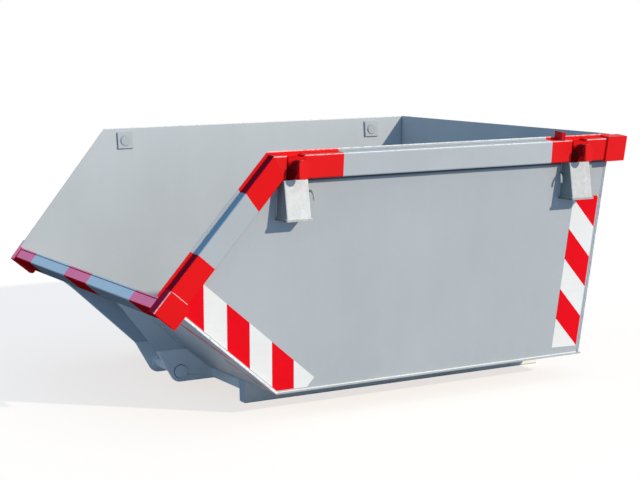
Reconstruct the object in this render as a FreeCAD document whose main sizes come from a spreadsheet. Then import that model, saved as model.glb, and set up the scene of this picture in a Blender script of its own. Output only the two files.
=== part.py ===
import FreeCAD, Part
import os

import Sketcher

# An open builders skip with one low end.  +X points to the tall rear end, -X to the loading lip,
# -Y is the left side and +Z is up.  Plan lengths in the sheet are measured from the lip corner,
# heights from the ground under the runners, and every finished piece is moved back by half of the
# overall length, so that the origin lies on the ground under the middle of the skip.

doc = FreeCAD.newDocument("builders_skip")
sheet = doc.addObject("Spreadsheet::Sheet", "dims")

DRIVING = [
    # body plates
    ("top_half_width", 890, "outer faces of the side panels at the top edge, from the middle"),
    ("flare_angle", 5.5, "lean of each side panel away from upright, degrees"),
    ("top_height", 1137, "top edge of the side panels above the ground"),
    ("runner_height", 110, "runner section height"),
    ("floor_thickness", 6, "floor and front slope plate"),
    ("side_thickness", 4, "side panel plate"),
    ("rear_thickness", 4, "rear panel plate"),
    ("rim_angle", 49.4, "slope of the low end's top edge, degrees"),
    ("lip_height", 535.2, "lip corner of the side outline above the ground"),
    ("lip_step", 66, "lip corner to the inner face of the front slope plate"),
    ("floor_length", 1584.5, "bend of the floor to the foot of the rear panel"),
    ("lean_angle", 5.2, "lean of the rear panel away from upright, degrees"),
    ("floor_ledge", 12, "floor and slope plate beyond the side panels"),
    ("rear_ledge", 8, "rear panel beyond the side panels"),
    # rim tubes
    ("upstand", 12, "side panel standing above the rim tubes"),
    ("rim_height", 100, "rim tube face height"),
    ("rim_depth", 50, "rim tube depth"),
    ("rim_wall", 4, "rim tube wall"),
    ("rim_radius", 8, "rim tube outer corner radius"),
    ("rim_gap", 85, "gap in the rim at each lifting pin"),
    ("end_plate", 5, "plate that closes a short rim tube at the gap"),
    ("boss_width", 70, "boss between the rim tubes' ends, round each lifting pin"),
    ("boss_drop", 9, "top of the boss below the top of the rim tubes"),
    ("boss_wall", 8, "boss plate"),
    ("lip_cap_length", 110, "corner cap, along the sloped edge"),
    ("lip_cap_width", 122, "corner cap, across the sloped edge"),
    ("lip_cap_rise", 2, "corner cap above the rim tube's top and outer face"),
    ("lip_cap_radius", 25, "rounded corner of the corner cap"),
    ("block_height", 112, "rear corner block height"),
    ("block_drop", 4, "rear corner block below the top edge"),
    ("block_lap", 50, "rear corner block ahead of the rear panel"),
    ("block_proud", 10, "rear corner block beyond the rim tubes"),
    # lifting points
    ("pin_after_knee", 105.2, "knee of the top edge to the front lifting pins"),
    ("pin_before_foot", 112, "rear lifting pins ahead of the rear panel's foot"),
    ("pin_drop", 63, "lifting pin axis below the top edge"),
    ("pin_diameter", 50, "lifting pin"),
    ("pin_hole_play", 3, "pin hole larger than the pin, because the panel leans"),
    ("pin_reach", 108, "side panel to the inner face of the pin's head plate"),
    ("pin_inside", 7, "pin beyond the inside doubler"),
    ("head_thickness", 12, "head plate"),
    ("head_width", 42, "head plate width and twice its end radius"),
    ("head_above", 10, "upper end centre of the head plate above the pin axis"),
    ("head_below", 27, "lower end centre of the head plate below the pin axis"),
    ("doubler_size", 80, "inside doubler plate, square"),
    ("doubler_thickness", 12, "inside doubler plate"),
    # stacking boxes under the pins
    ("box_width", 112, "stacking box along the skip"),
    ("box_height", 163, "stacking box"),
    ("box_top_reach", 47, "top of the box beyond the panel's top edge"),
    ("box_foot_reach", 70, "foot of the box beyond the panel's top edge"),
    ("box_wall", 5, "stacking box sheet"),
    ("box_radius", 6, "bent edges of the stacking box"),
    ("foot_lap", 5, "foot plate beyond the box on each side"),
    ("foot_thickness", 8, "foot plate under the box"),
    ("foot_corner", 8, "foot plate corner radius"),
    # net hooks
    ("hook_bar", 10, "net hook bar diameter"),
    ("hook_reach", 39, "net hook out from its root"),
    ("hook_bend", 32, "net hook bend radius at the middle of the bar"),
    ("hook_leg", 6, "straight leg of the net hook"),
    ("hook_drop", 170, "net hook root below the top edge"),
    ("hook_after_pin", 95, "front net hooks behind the front pins"),
    ("hook_before_pin", 62, "rear net hooks ahead of the rear pins"),
    ("hook_turn_angle", 30, "rear net hooks turned towards the front, degrees"),
    # bracket on the left rim
    ("stop_before_pin", 106, "front face of the stop bracket ahead of the rear pin"),
    ("stop_height", 38, "stop bracket above the rim tube"),
    ("stop_return", 22, "stop bracket return along the rim"),
    ("stop_sheet", 5, "stop bracket plate"),
    # underframe
    ("runner_middle", 437, "middle of each runner from the middle of the skip"),
    ("runner_width", 60, "runner section width"),
    ("runner_wall", 6, "runner wall"),
    ("runner_radius", 9, "runner outer corner radius"),
    ("runner_setback", 18.5, "front end of the runners behind the bend of the floor"),
    ("runner_plate", 6, "plate that closes a runner's rear end"),
    ("tie_height", 42, "front tie bar height"),
    ("tie_thickness", 10, "front tie bar thickness"),
    ("tie_drop", 12, "front tie bar below the runners' top"),
    ("axle_ahead", 139.5, "tipping axle ahead of the bend of the floor"),
    ("axle_drop", 10.5, "tipping axle below the floor's underside"),
    ("axle_diameter", 45, "tipping axle"),
    ("axle_play", 0.6, "bracket hole larger than the axle"),
    ("collar_diameter", 62, "collar of the tipping axle"),
    ("collar_width", 12, "collar of the tipping axle"),
    ("head_disc_diameter", 58, "disc welded on each end of the axle"),
    ("head_disc_width", 9, "disc welded on each end of the axle"),
    ("bracket_outside", 130, "outer face of each tipping bracket from the middle"),
    ("bracket_thickness", 12, "tipping bracket plate"),
    ("bracket_nose", 48, "nose radius of the tipping bracket"),
    ("nose_angle", 60.7, "slope of the bracket's front edge, degrees"),
    ("bracket_height", 90, "top edge of the tipping bracket above the floor's underside"),
    ("bracket_tail", 14, "tipping bracket behind the tie bar's front face"),
    ("web_thickness", 8, "gusset web plate"),
    ("spread_angle", 33.6, "lean of each gusset web away from upright, degrees"),
    ("seat_gap", 0.3, "clearance left where a slanted edge meets a plate"),
]

for row, (alias, number, note) in enumerate(DRIVING, start=1):
    sheet.set("A%d" % row, alias)
    sheet.set("B%d" % row, str(number))
    sheet.set("C%d" % row, note)
    sheet.setAlias("B%d" % row, alias)
doc.recompute()

# Derived lengths, written as expressions on the sheet's cells.
FLARE = "(dims.flare_angle * 1deg)"
RIM = "(dims.rim_angle * 1deg)"
LEAN = "(dims.lean_angle * 1deg)"
EDGE = "(dims.nose_angle * 1deg)"
SPREAD = "(dims.spread_angle * 1deg)"
FLOOR_TOP = "(dims.runner_height + dims.floor_thickness)"
BODY_HEIGHT = "(dims.top_height - %s)" % FLOOR_TOP
RIM_LENGTH = "((dims.top_height - dims.lip_height) / sin(%s))" % RIM
KNEE_X = "(%s * cos(%s))" % (RIM_LENGTH, RIM)
LIP_Z = "dims.lip_height"
FOOT_HALF = "(dims.top_half_width - %s * tan(%s))" % (BODY_HEIGHT, FLARE)
SLOPE_X = "(dims.lip_step * cos(%s))" % RIM
SLOPE_Z = "(%s + dims.lip_step * sin(%s))" % (LIP_Z, RIM)
SLOPE_RUN = "((%s - %s) / cos(%s))" % (SLOPE_Z, FLOOR_TOP, RIM)
BEND_X = "(%s + %s * sin(%s))" % (SLOPE_X, SLOPE_RUN, RIM)
REAR_FOOT = "(%s + dims.floor_length)" % BEND_X
REAR_TOP_X = "(%s + %s * tan(%s))" % (REAR_FOOT, BODY_HEIGHT, LEAN)
FRONT_PIN = "(%s + dims.pin_after_knee)" % KNEE_X
REAR_PIN = "(%s - dims.pin_before_foot)" % REAR_FOOT
STOP_FRONT = "(%s - dims.stop_before_pin)" % REAR_PIN
RUNNER_FRONT = "(%s + dims.runner_setback)" % BEND_X
AXLE_X = "(%s - dims.axle_ahead)" % BEND_X
AXLE_Z = "(dims.runner_height - dims.axle_drop)"
BRACKET_TOP = "(dims.runner_height + dims.bracket_height)"
RIM_FOOT = "(dims.upstand + dims.rim_height)"
TUBE_OUT = "(dims.rear_thickness + dims.rim_depth)"
BLOCK_FRONT = "(%s / cos(%s))" % ("dims.block_lap", LEAN)
BLOCK_REAR = "((%s + dims.lip_cap_rise) / cos(%s))" % (TUBE_OUT, LEAN)
FRONT_END = "((dims.upstand - dims.lip_cap_rise) * sin(%s))" % RIM
REAR_END = "(%s + %s - dims.block_drop * tan(%s))" % (REAR_TOP_X, BLOCK_REAR, LEAN)
MIDDLE_X = "((%s + %s) / 2)" % (FRONT_END, REAR_END)


def value(expression):
    """Number of millimetres or degrees that an expression on the sheet gives."""
    result = sheet.evalExpression(expression)
    return float(getattr(result, "Value", result))


def rim_point(along, across):
    """Point on the side outline's sloped part: up the edge from the lip corner, and down into it."""
    x = "((%s) * cos(%s) + (%s) * sin(%s))" % (along, RIM, across, RIM)
    z = "(%s + (%s) * sin(%s) - (%s) * cos(%s))" % (LIP_Z, along, RIM, across, RIM)
    return x, z


def knee_point(across):
    """Point on the mitre line at the knee."""
    x = "(%s + (%s) * tan(%s / 2))" % (KNEE_X, across, RIM)
    return x, "(dims.top_height - (%s))" % across


def rear_point(below):
    """Point on the rear edge of the side outline, a given distance below the top edge."""
    x = "(%s - (%s) * tan(%s))" % (REAR_TOP_X, below, LEAN)
    return x, "(dims.top_height - (%s))" % below


def new_body(label):
    body = doc.addObject("PartDesign::Body", label)
    body.Label = label
    return body


def new_sketch(body, role, offset=None):
    """Sketch on one of the body's own origin planes, moved along the plane's normal."""
    sketch = body.newObject("Sketcher::SketchObject", body.Name + "_sketch")
    plane = [item for item in body.Origin.OriginFeatures if item.Role == role][0]
    sketch.AttachmentSupport = [(plane, "")]
    sketch.MapMode = "FlatFace"
    if offset is not None:
        sketch.setExpression("AttachmentOffset.Base.z", offset)
    return sketch


def fix_point(sketch, geometry, end, point):
    """Dimensions from the sketch's origin to a vertex or centre, both bound to the sheet."""
    for kind, expression in zip(("DistanceX", "DistanceY"), point):
        index = sketch.addConstraint(
            Sketcher.Constraint(kind, -1, 1, geometry, end, value(expression)))
        sketch.setExpression("Constraints[%d]" % index, expression)


def draw_polygon(sketch, points):
    """Closed outline of straight lines with every corner dimensioned."""
    numbers = [FreeCAD.Vector(value(x), value(y), 0) for x, y in points]
    first = sketch.GeometryCount
    count = len(points)
    for index in range(count):
        line = Part.LineSegment(numbers[index], numbers[(index + 1) % count])
        sketch.addGeometry(line, False)
    for index in range(count):
        following = first + (index + 1) % count
        sketch.addConstraint(Sketcher.Constraint("Coincident", first + index, 2, following, 1))
    for index in range(count):
        fix_point(sketch, first + index, 1, points[index])


def draw_circle(sketch, centre, diameter):
    middle = FreeCAD.Vector(value(centre[0]), value(centre[1]), 0)
    circle = Part.Circle(middle, FreeCAD.Vector(0, 0, 1), value(diameter) / 2)
    index = sketch.addGeometry(circle, False)
    fix_point(sketch, index, 3, centre)
    size = sketch.addConstraint(Sketcher.Constraint("Diameter", index, value(diameter)))
    sketch.setExpression("Constraints[%d]" % size, diameter)


def pad(body, sketch, length, midplane=False, reverse=False):
    feature = body.newObject("PartDesign::Pad", body.Name + "_pad")
    feature.Profile = sketch
    feature.setExpression("Length", length)
    feature.Midplane = midplane
    feature.Reversed = reverse
    doc.recompute()
    return feature


def pocket(body, sketch, length, midplane=False, reverse=False):
    """Cut, checked to have taken material away."""
    before = body.Tip.Shape.Volume
    feature = body.newObject("PartDesign::Pocket", body.Name + "_pocket")
    feature.Profile = sketch
    feature.setExpression("Length", length)
    feature.Midplane = midplane
    feature.Reversed = reverse
    doc.recompute()
    if not before - feature.Shape.Volume > before * CUT_SHARE:
        raise RuntimeError("nothing cut from " + body.Label)
    return feature


def round_edges(body, radius, wanted):
    """Fillet on the straight edges for which the given test holds."""
    base = body.Tip
    names = []
    for index, edge in enumerate(base.Shape.Edges, start=1):
        if edge.Curve.TypeId != "Part::GeomLine":
            continue
        start = edge.Vertexes[0].Point
        finish = edge.Vertexes[-1].Point
        if wanted(start, finish):
            names.append("Edge%d" % index)
    feature = body.newObject("PartDesign::Fillet", body.Name + "_fillet")
    feature.Base = (base, names)
    feature.setExpression("Radius", radius)
    doc.recompute()
    return feature


def place(item, x="0", y="0", z="0", axis=None, angle=None):
    """Bound placement; every piece shares the move that centres the skip on its origin."""
    if axis is not None:
        item.Placement = FreeCAD.Placement(FreeCAD.Vector(), FreeCAD.Rotation(axis, value(angle)))
        item.setExpression("Placement.Rotation.Angle", angle)
    item.setExpression("Placement.Base.x", "%s - %s" % (x, MIDDLE_X))
    item.setExpression("Placement.Base.y", y)
    item.setExpression("Placement.Base.z", z)


CUT_SHARE = 0.0001
X_AXIS = FreeCAD.Vector(1, 0, 0)
Y_AXIS = FreeCAD.Vector(0, 1, 0)
Z_AXIS = FreeCAD.Vector(0, 0, 1)
SIDES = (("left", -1), ("right", 1))
NEAR = 0.01


def lean_point(point, foot, angle):
    """Upright (x, z) point as seen in a plate that leans about a line along X."""
    return point[0], "((%s - %s) / cos(%s))" % (point[1], foot, angle)


def side_place(item, side):
    """Places a piece in the plane of a side panel: its outer face, on the floor line."""
    place(item, y="%d * %s" % (side, FOOT_HALF), z=FLOOR_TOP, axis=X_AXIS,
          angle="%d * dims.flare_angle" % -side)


def side_points(points):
    return [lean_point(point, FLOOR_TOP, FLARE) for point in points]


def side_body(label, side, points, start, depth):
    """Piece cut to an outline in the plane of a side panel; depths run outward from the panel."""
    body = new_body(label)
    signed = "%d * (%s)" % (-side, start)
    sketch = new_sketch(body, "XZ_Plane", signed)
    draw_polygon(sketch, side_points(points))
    pad(body, sketch, depth, reverse=side > 0)
    side_place(body, side)
    return body


def plain(point):
    return value(point[0]), value(point[1])


def same(first, second):
    return abs(first[0] - second[0]) < NEAR and abs(first[1] - second[1]) < NEAR


def along(points, *pairs):
    """Test for edges of a side piece that run between given pairs of its outline's corners."""
    corners = [plain(point) for point in side_points(points)]

    def wanted(start, finish):
        ends = (start.x, start.z), (finish.x, finish.z)
        return any((same(ends[0], corners[a]) and same(ends[1], corners[b]))
                   or (same(ends[1], corners[a]) and same(ends[0], corners[b])) for a, b in pairs)
    return wanted


def across(points):
    """Test for edges that run through the depth of a piece drawn in an XZ plane, at given corners."""
    corners = [plain(point) for point in points]

    def wanted(start, finish):
        ends = (start.x, start.z), (finish.x, finish.z)
        return any(same(ends[0], corner) and same(ends[1], corner) for corner in corners)
    return wanted


# Side panels: five straight edges, with a hole for each lifting pin.
PIN_Z = "(dims.top_height - dims.pin_drop)"
PANEL = [
    (SLOPE_X, SLOPE_Z),
    (KNEE_X, "dims.top_height"),
    (REAR_TOP_X, "dims.top_height"),
    (REAR_FOOT, FLOOR_TOP),
    (BEND_X, FLOOR_TOP),
]
PIN_HOLE = "(dims.pin_diameter + dims.pin_hole_play)"


def pin_point(pin):
    """Hole centre in the side plane, lowered so that the level pin passes both leaning plates."""
    x, z = lean_point((pin, PIN_Z), FLOOR_TOP, FLARE)
    return x, "(%s - (dims.side_thickness + dims.doubler_thickness) / 2 * tan(%s))" % (z, FLARE)


for name, side in SIDES:
    panel = new_body("side_panel_" + name)
    outline = new_sketch(panel, "XZ_Plane")
    draw_polygon(outline, side_points(PANEL))
    pad(panel, outline, "dims.side_thickness", reverse=side < 0)
    holes = new_sketch(panel, "XZ_Plane")
    for pin in (FRONT_PIN, REAR_PIN):
        draw_circle(holes, pin_point(pin), PIN_HOLE)
    pocket(panel, holes, "dims.side_thickness * 3", midplane=True)
    side_place(panel, side)

# Floor plate, with its front end shaped to the bend under the front slope.
FLOOR_END = "(%s + dims.rear_thickness + dims.rear_ledge)" % REAR_FOOT
FLOOR = [
    (BEND_X, FLOOR_TOP),
    ("(%s - dims.floor_thickness * cos(%s))" % (BEND_X, RIM),
     "(%s - dims.floor_thickness * sin(%s))" % (FLOOR_TOP, RIM)),
    ("(%s - dims.floor_thickness * tan(45deg - %s / 2))" % (BEND_X, RIM), "dims.runner_height"),
    (FLOOR_END, "dims.runner_height"),
    (FLOOR_END, FLOOR_TOP),
]
floor_plate = new_body("floor_plate")
profile = new_sketch(floor_plate, "XZ_Plane")
draw_polygon(profile, FLOOR)
pad(floor_plate, profile, "2 * (%s + dims.floor_ledge)" % FOOT_HALF, midplane=True)
place(floor_plate)

# Front slope plate: a trapezium that widens to the lip, narrow between the corner caps.
CAP_FOOT = "(dims.upstand - dims.lip_cap_rise + dims.lip_cap_width)"
LIP_HALF = "(dims.top_half_width - (dims.top_height - %s) * tan(%s))" % (SLOPE_Z, FLARE)


def slope_half(run, ledge):
    return "(%s - (%s) * cos(%s) * tan(%s) + %s)" % (LIP_HALF, run, RIM, FLARE, ledge)


def mirrored(points):
    """Closed outline from the half on the +Y side, listed from one end to the other."""
    opposite = [(x, "-1 * %s" % y) for x, y in reversed(points)]
    return points + opposite


CAP_PLAY = "-1 * (dims.seat_gap + dims.floor_thickness * tan(%s))" % FLARE
CAP_END = "(%s + dims.seat_gap + (dims.floor_ledge + dims.floor_thickness) * tan(%s))" % (CAP_FOOT, FLARE)
SLOPE = mirrored([
    ("dims.upstand", slope_half("dims.upstand", CAP_PLAY)),
    (CAP_END, slope_half(CAP_END, CAP_PLAY)),
    (CAP_END, slope_half(CAP_END, "dims.floor_ledge")),
    (SLOPE_RUN, slope_half(SLOPE_RUN, "dims.floor_ledge")),
])
slope_plate = new_body("front_slope_plate")
outline = new_sketch(slope_plate, "XY_Plane")
draw_polygon(outline, SLOPE)
pad(slope_plate, outline, "dims.floor_thickness", reverse=True)
place(slope_plate, x=SLOPE_X, z=SLOPE_Z, axis=Y_AXIS, angle="90 - dims.rim_angle")

# Rear panel: a trapezium behind the side panels, leaning back, narrow beside the corner blocks.
BLOCK_FOOT = "(dims.block_drop + dims.block_height)"


def rear_half(height, ledge):
    return "(%s + (%s) * cos(%s) * tan(%s) + %s)" % (FOOT_HALF, height, LEAN, FLARE, ledge)


REAR_SLANT = "(%s / cos(%s))" % (BODY_HEIGHT, LEAN)
BLOCK_SLANT = "((%s - %s - dims.seat_gap - dims.rear_ledge * tan(%s)) / cos(%s) - dims.rear_thickness * tan(%s))" % (
    BODY_HEIGHT, BLOCK_FOOT, FLARE, LEAN, LEAN)
REAR = [
    ("0", "dims.rear_ledge"),
    (BLOCK_SLANT, "dims.rear_ledge"),
    (BLOCK_SLANT, "-dims.seat_gap"),
    ("(%s - dims.rear_thickness * tan(%s))" % (REAR_SLANT, LEAN), "-dims.seat_gap"),
]
half = [(rear_half(height, ledge), height) for height, ledge in REAR]
rear_outline = half + [("-1 * %s" % y, height) for y, height in reversed(half)]
rear_panel = new_body("rear_panel")
outline = new_sketch(rear_panel, "YZ_Plane")
draw_polygon(outline, rear_outline)
pad(rear_panel, outline, "dims.rear_thickness")
place(rear_panel, x="(%s + dims.rear_thickness * sin(%s) * tan(%s))" % (REAR_FOOT, LEAN, LEAN),
      z="%s + dims.rear_thickness * sin(%s)" % (FLOOR_TOP, LEAN), axis=Y_AXIS, angle="dims.lean_angle")

# Rim tubes along the sides: hollow, mitred at the knee, cut away at each lifting pin.
GAP_HALF = "(dims.rim_gap / 2)"


def rim_tube(label, side, outer, inner):
    """Rim tube from its outline in the side plane; the bore runs out where its outline does."""
    body = side_body(label, side, outer, "0", "dims.rim_depth")
    round_edges(body, "dims.rim_radius", along(outer, (1, 2), (3, 0)))
    bore = new_sketch(body, "XZ_Plane", "%d * dims.rim_depth / 2" % -side)
    draw_polygon(bore, side_points(inner))
    pocket(body, bore, "dims.rim_depth - 2 * dims.rim_wall", midplane=True)
    return body


BORE_TOP = "(dims.upstand + dims.rim_wall)"
BORE_FOOT = "(%s - dims.rim_wall)" % RIM_FOOT
TUBE_TOP_Z = "(dims.top_height - dims.upstand)"
TUBE_FOOT_Z = "(dims.top_height - %s)" % RIM_FOOT
BORE_TOP_Z = "(dims.top_height - %s)" % BORE_TOP
BORE_FOOT_Z = "(dims.top_height - %s)" % BORE_FOOT
BOSS_TOP_Z = "(%s - dims.boss_drop)" % TUBE_TOP_Z
BOSS_DEPTH = "(dims.rim_depth - dims.boss_wall)"


def shifted(point, move):
    return "(%s + %s)" % (point[0], move), point[1]


def block_front(below):
    x, z = rear_point(below)
    return "(%s - %s)" % (x, BLOCK_FRONT), z


OVERRUN = "dims.rim_depth"
for name, side in SIDES:
    rim_tube(
        "rim_slope_" + name, side,
        [rim_point("dims.lip_cap_length", "dims.upstand"),
         rim_point("dims.lip_cap_length", RIM_FOOT),
         knee_point(RIM_FOOT), knee_point("dims.upstand")],
        [rim_point("(dims.lip_cap_length - %s)" % OVERRUN, BORE_TOP),
         rim_point("(dims.lip_cap_length - %s)" % OVERRUN, BORE_FOOT),
         rim_point("(%s + %s)" % (RIM_LENGTH, OVERRUN), BORE_FOOT),
         rim_point("(%s + %s)" % (RIM_LENGTH, OVERRUN), BORE_TOP)])
    stub_end = "(%s - %s)" % (FRONT_PIN, GAP_HALF)
    stub_bore = "(%s - dims.end_plate)" % stub_end
    rim_tube(
        "rim_stub_" + name, side,
        [knee_point("dims.upstand"), knee_point(RIM_FOOT),
         (stub_end, TUBE_FOOT_Z), (stub_end, TUBE_TOP_Z)],
        [shifted(knee_point(BORE_TOP), "-%s" % OVERRUN), shifted(knee_point(BORE_FOOT), "-%s" % OVERRUN),
         (stub_bore, BORE_FOOT_Z), (stub_bore, BORE_TOP_Z)])
    long_start = "(%s + %s)" % (FRONT_PIN, GAP_HALF)
    long_end = "(%s - %s)" % (REAR_PIN, GAP_HALF)
    rim_tube(
        "rim_long_" + name, side,
        [(long_start, TUBE_TOP_Z), (long_start, TUBE_FOOT_Z), (long_end, TUBE_FOOT_Z), (long_end, TUBE_TOP_Z)],
        [("(%s - %s)" % (long_start, OVERRUN), BORE_TOP_Z), ("(%s - %s)" % (long_start, OVERRUN), BORE_FOOT_Z),
         ("(%s + %s)" % (long_end, OVERRUN), BORE_FOOT_Z), ("(%s + %s)" % (long_end, OVERRUN), BORE_TOP_Z)])
    for end, pin in (("front", FRONT_PIN), ("rear", REAR_PIN)):
        start = "(%s - dims.boss_width / 2)" % pin
        finish = "(%s + dims.boss_width / 2)" % pin
        boss = side_body(
            "pin_boss_%s_%s" % (end, name), side,
            [(start, BOSS_TOP_Z), (start, TUBE_FOOT_Z), (finish, TUBE_FOOT_Z), (finish, BOSS_TOP_Z)],
            "0", "dims.rim_depth")
        inside = new_sketch(boss, "XZ_Plane", "%d * %s / 2" % (-side, BOSS_DEPTH))
        draw_polygon(inside, side_points([
            ("(%s + dims.boss_wall)" % start, "(%s - dims.boss_wall)" % BOSS_TOP_Z),
            ("(%s + dims.boss_wall)" % start, "(%s + dims.boss_wall)" % TUBE_FOOT_Z),
            ("(%s - dims.boss_wall)" % finish, "(%s + dims.boss_wall)" % TUBE_FOOT_Z),
            ("(%s - dims.boss_wall)" % finish, "(%s - dims.boss_wall)" % BOSS_TOP_Z)]))
        pocket(boss, inside, BOSS_DEPTH, midplane=True)
        hole = new_sketch(boss, "XZ_Plane", "%d * dims.rim_depth" % -side)
        hole_x, hole_z = lean_point((pin, PIN_Z), FLOOR_TOP, FLARE)
        hole_z = "(%s + (dims.rim_depth - dims.boss_wall / 2) * tan(%s))" % (hole_z, FLARE)
        draw_circle(hole, (hole_x, hole_z), PIN_HOLE)
        pocket(boss, hole, "2 * dims.boss_wall + dims.seat_gap", midplane=True)
    tail_start = "(%s + %s)" % (REAR_PIN, GAP_HALF)
    tail_bore = "(%s + dims.end_plate)" % tail_start
    rim_tube(
        "rim_tail_" + name, side,
        [(tail_start, TUBE_TOP_Z), (tail_start, TUBE_FOOT_Z), block_front(RIM_FOOT), block_front("dims.upstand")],
        [(tail_bore, BORE_TOP_Z), (tail_bore, BORE_FOOT_Z),
         shifted(block_front(BORE_FOOT), OVERRUN), shifted(block_front(BORE_TOP), OVERRUN)])

# Corner caps at the lip and corner blocks at the rear, a little proud of the rim tubes.
CAP_TOP = "(dims.upstand - dims.lip_cap_rise)"
for name, side in SIDES:
    cap = side_body(
        "lip_cap_" + name, side,
        [rim_point("0", CAP_TOP), rim_point("0", CAP_FOOT),
         rim_point("dims.lip_cap_length", CAP_FOOT), rim_point("dims.lip_cap_length", CAP_TOP)],
        "0", "(dims.rim_depth + dims.lip_cap_rise)")
    round_edges(cap, "dims.lip_cap_radius",
                across(side_points([rim_point("dims.lip_cap_length", CAP_FOOT)])))
    top = rear_point("dims.block_drop")
    foot = rear_point(BLOCK_FOOT)
    block = side_body(
        "rear_block_" + name, side,
        [shifted(top, "-%s" % BLOCK_FRONT), shifted(foot, "-%s" % BLOCK_FRONT),
         shifted(foot, BLOCK_REAR), shifted(top, BLOCK_REAR)],
        "0", "(dims.rim_depth + dims.block_proud)")
    round_edges(block, "dims.rim_radius / 2", across(side_points(
        [shifted(top, "-%s" % BLOCK_FRONT), shifted(foot, "-%s" % BLOCK_FRONT),
         shifted(foot, BLOCK_REAR), shifted(top, BLOCK_REAR)])))

# Lip beam under the slope plate's front edge and beam behind the rear panel's top edge.
def tube_profile(sketch, left, right, low, high):
    """Rectangular tube section with an open bore."""
    wall = "dims.rim_wall"
    draw_polygon(sketch, [(left, low), (right, low), (right, high), (left, high)])
    draw_polygon(sketch, [("(%s + %s)" % (left, wall), "(%s + %s)" % (low, wall)),
                          ("(%s - %s)" % (right, wall), "(%s + %s)" % (low, wall)),
                          ("(%s - %s)" % (right, wall), "(%s - %s)" % (high, wall)),
                          ("(%s + %s)" % (left, wall), "(%s - %s)" % (high, wall))])


def outer_long_edges(left, right, low, high):
    """Test for the four outer edges of a tube that runs along Y."""
    corners = [(value(x), value(z)) for x in (left, right) for z in (low, high)]

    def wanted(start, finish):
        return any(abs(point.x - x) < NEAR and abs(point.z - z) < NEAR
                   for x, z in corners for point in (start,)) \
            and abs(start.x - finish.x) < NEAR and abs(start.z - finish.z) < NEAR
    return wanted


def cross_tube(label, left, right, low, high, length):
    body = new_body(label)
    section = new_sketch(body, "XZ_Plane")
    tube_profile(section, left, right, low, high)
    pad(body, section, length, midplane=True)
    round_edges(body, "dims.rim_radius", outer_long_edges(left, right, low, high))
    return body


LIP_LEFT = "dims.upstand"
LIP_RIGHT = "(dims.upstand + dims.rim_height)"
LIP_HIGH = "(-1 * dims.floor_thickness)"
LIP_LOW = "(-1 * (dims.floor_thickness + dims.rim_depth))"
lip_beam = cross_tube("lip_beam", LIP_LEFT, LIP_RIGHT, LIP_LOW, LIP_HIGH,
                      "2 * (%s + dims.rim_depth)" % LIP_HALF)


def slope_plan_half(run, drop):
    """Half width between the side planes at a depth under the slope plate's inner face."""
    return "(%s - ((%s) * cos(%s) + (%s) * sin(%s)) * tan(%s) - dims.seat_gap)" % (
        LIP_HALF, run, RIM, drop, RIM, FLARE)


def trim_ends(body, role, half_low, half_high, low, high):
    """Cuts both ends of a cross piece to the lean of the side panels."""
    cutter = new_sketch(body, role)
    wide = "(2 * (%s))" % half_high
    for sign in ("", "-1 * "):
        points = [("%s%s" % (sign, half_low), low), ("%s%s" % (sign, half_high), high),
                  ("%s%s" % (sign, wide), high), ("%s%s" % (sign, wide), low)]
        draw_polygon(cutter, points)
    return pocket(body, cutter, wide, midplane=True)


# The ends of the lip beam follow the corner caps' inner faces across its depth.
trim_low = "(2 * %s)" % LIP_LOW
trim_ends(lip_beam, "YZ_Plane",
          slope_plan_half(LIP_RIGHT, "(-1 * %s)" % trim_low), slope_plan_half(LIP_RIGHT, "0"),
          trim_low, "0")
place(lip_beam, x=SLOPE_X, z=SLOPE_Z, axis=Y_AXIS, angle="90 - dims.rim_angle")

BEAM_LEFT = "dims.rear_thickness"
BEAM_RIGHT = TUBE_OUT
BEAM_HIGH = "(%s - dims.upstand / cos(%s))" % (REAR_SLANT, LEAN)
BEAM_LOW = "(%s - dims.rim_height)" % BEAM_HIGH
rear_beam = cross_tube("rear_beam", BEAM_LEFT, BEAM_RIGHT, BEAM_LOW, BEAM_HIGH,
                       "2 * (dims.top_half_width + dims.rim_depth)")


def beam_half(height):
    """Half width between the corner blocks at a height up the rear panel's slant."""
    return "(%s + ((%s) * cos(%s) - %s * sin(%s)) * tan(%s) - dims.seat_gap)" % (
        FOOT_HALF, height, LEAN, BEAM_RIGHT, LEAN, FLARE)


trim_ends(rear_beam, "YZ_Plane", beam_half(BEAM_LOW), beam_half(BEAM_HIGH), BEAM_LOW, BEAM_HIGH)
place(rear_beam, x=REAR_FOOT, z=FLOOR_TOP, axis=Y_AXIS, angle="dims.lean_angle")

# Lifting points: pin with its head plate, inside doubler, stacking box and its foot plate.
PIN_PANEL = "(dims.top_half_width - dims.pin_drop * tan(%s))" % FLARE
PIN_START = "(%s - (dims.side_thickness + dims.doubler_thickness) / cos(%s) - dims.pin_inside)" % (
    PIN_PANEL, FLARE)
HEAD_INNER = "(%s + dims.pin_reach)" % PIN_PANEL


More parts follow.
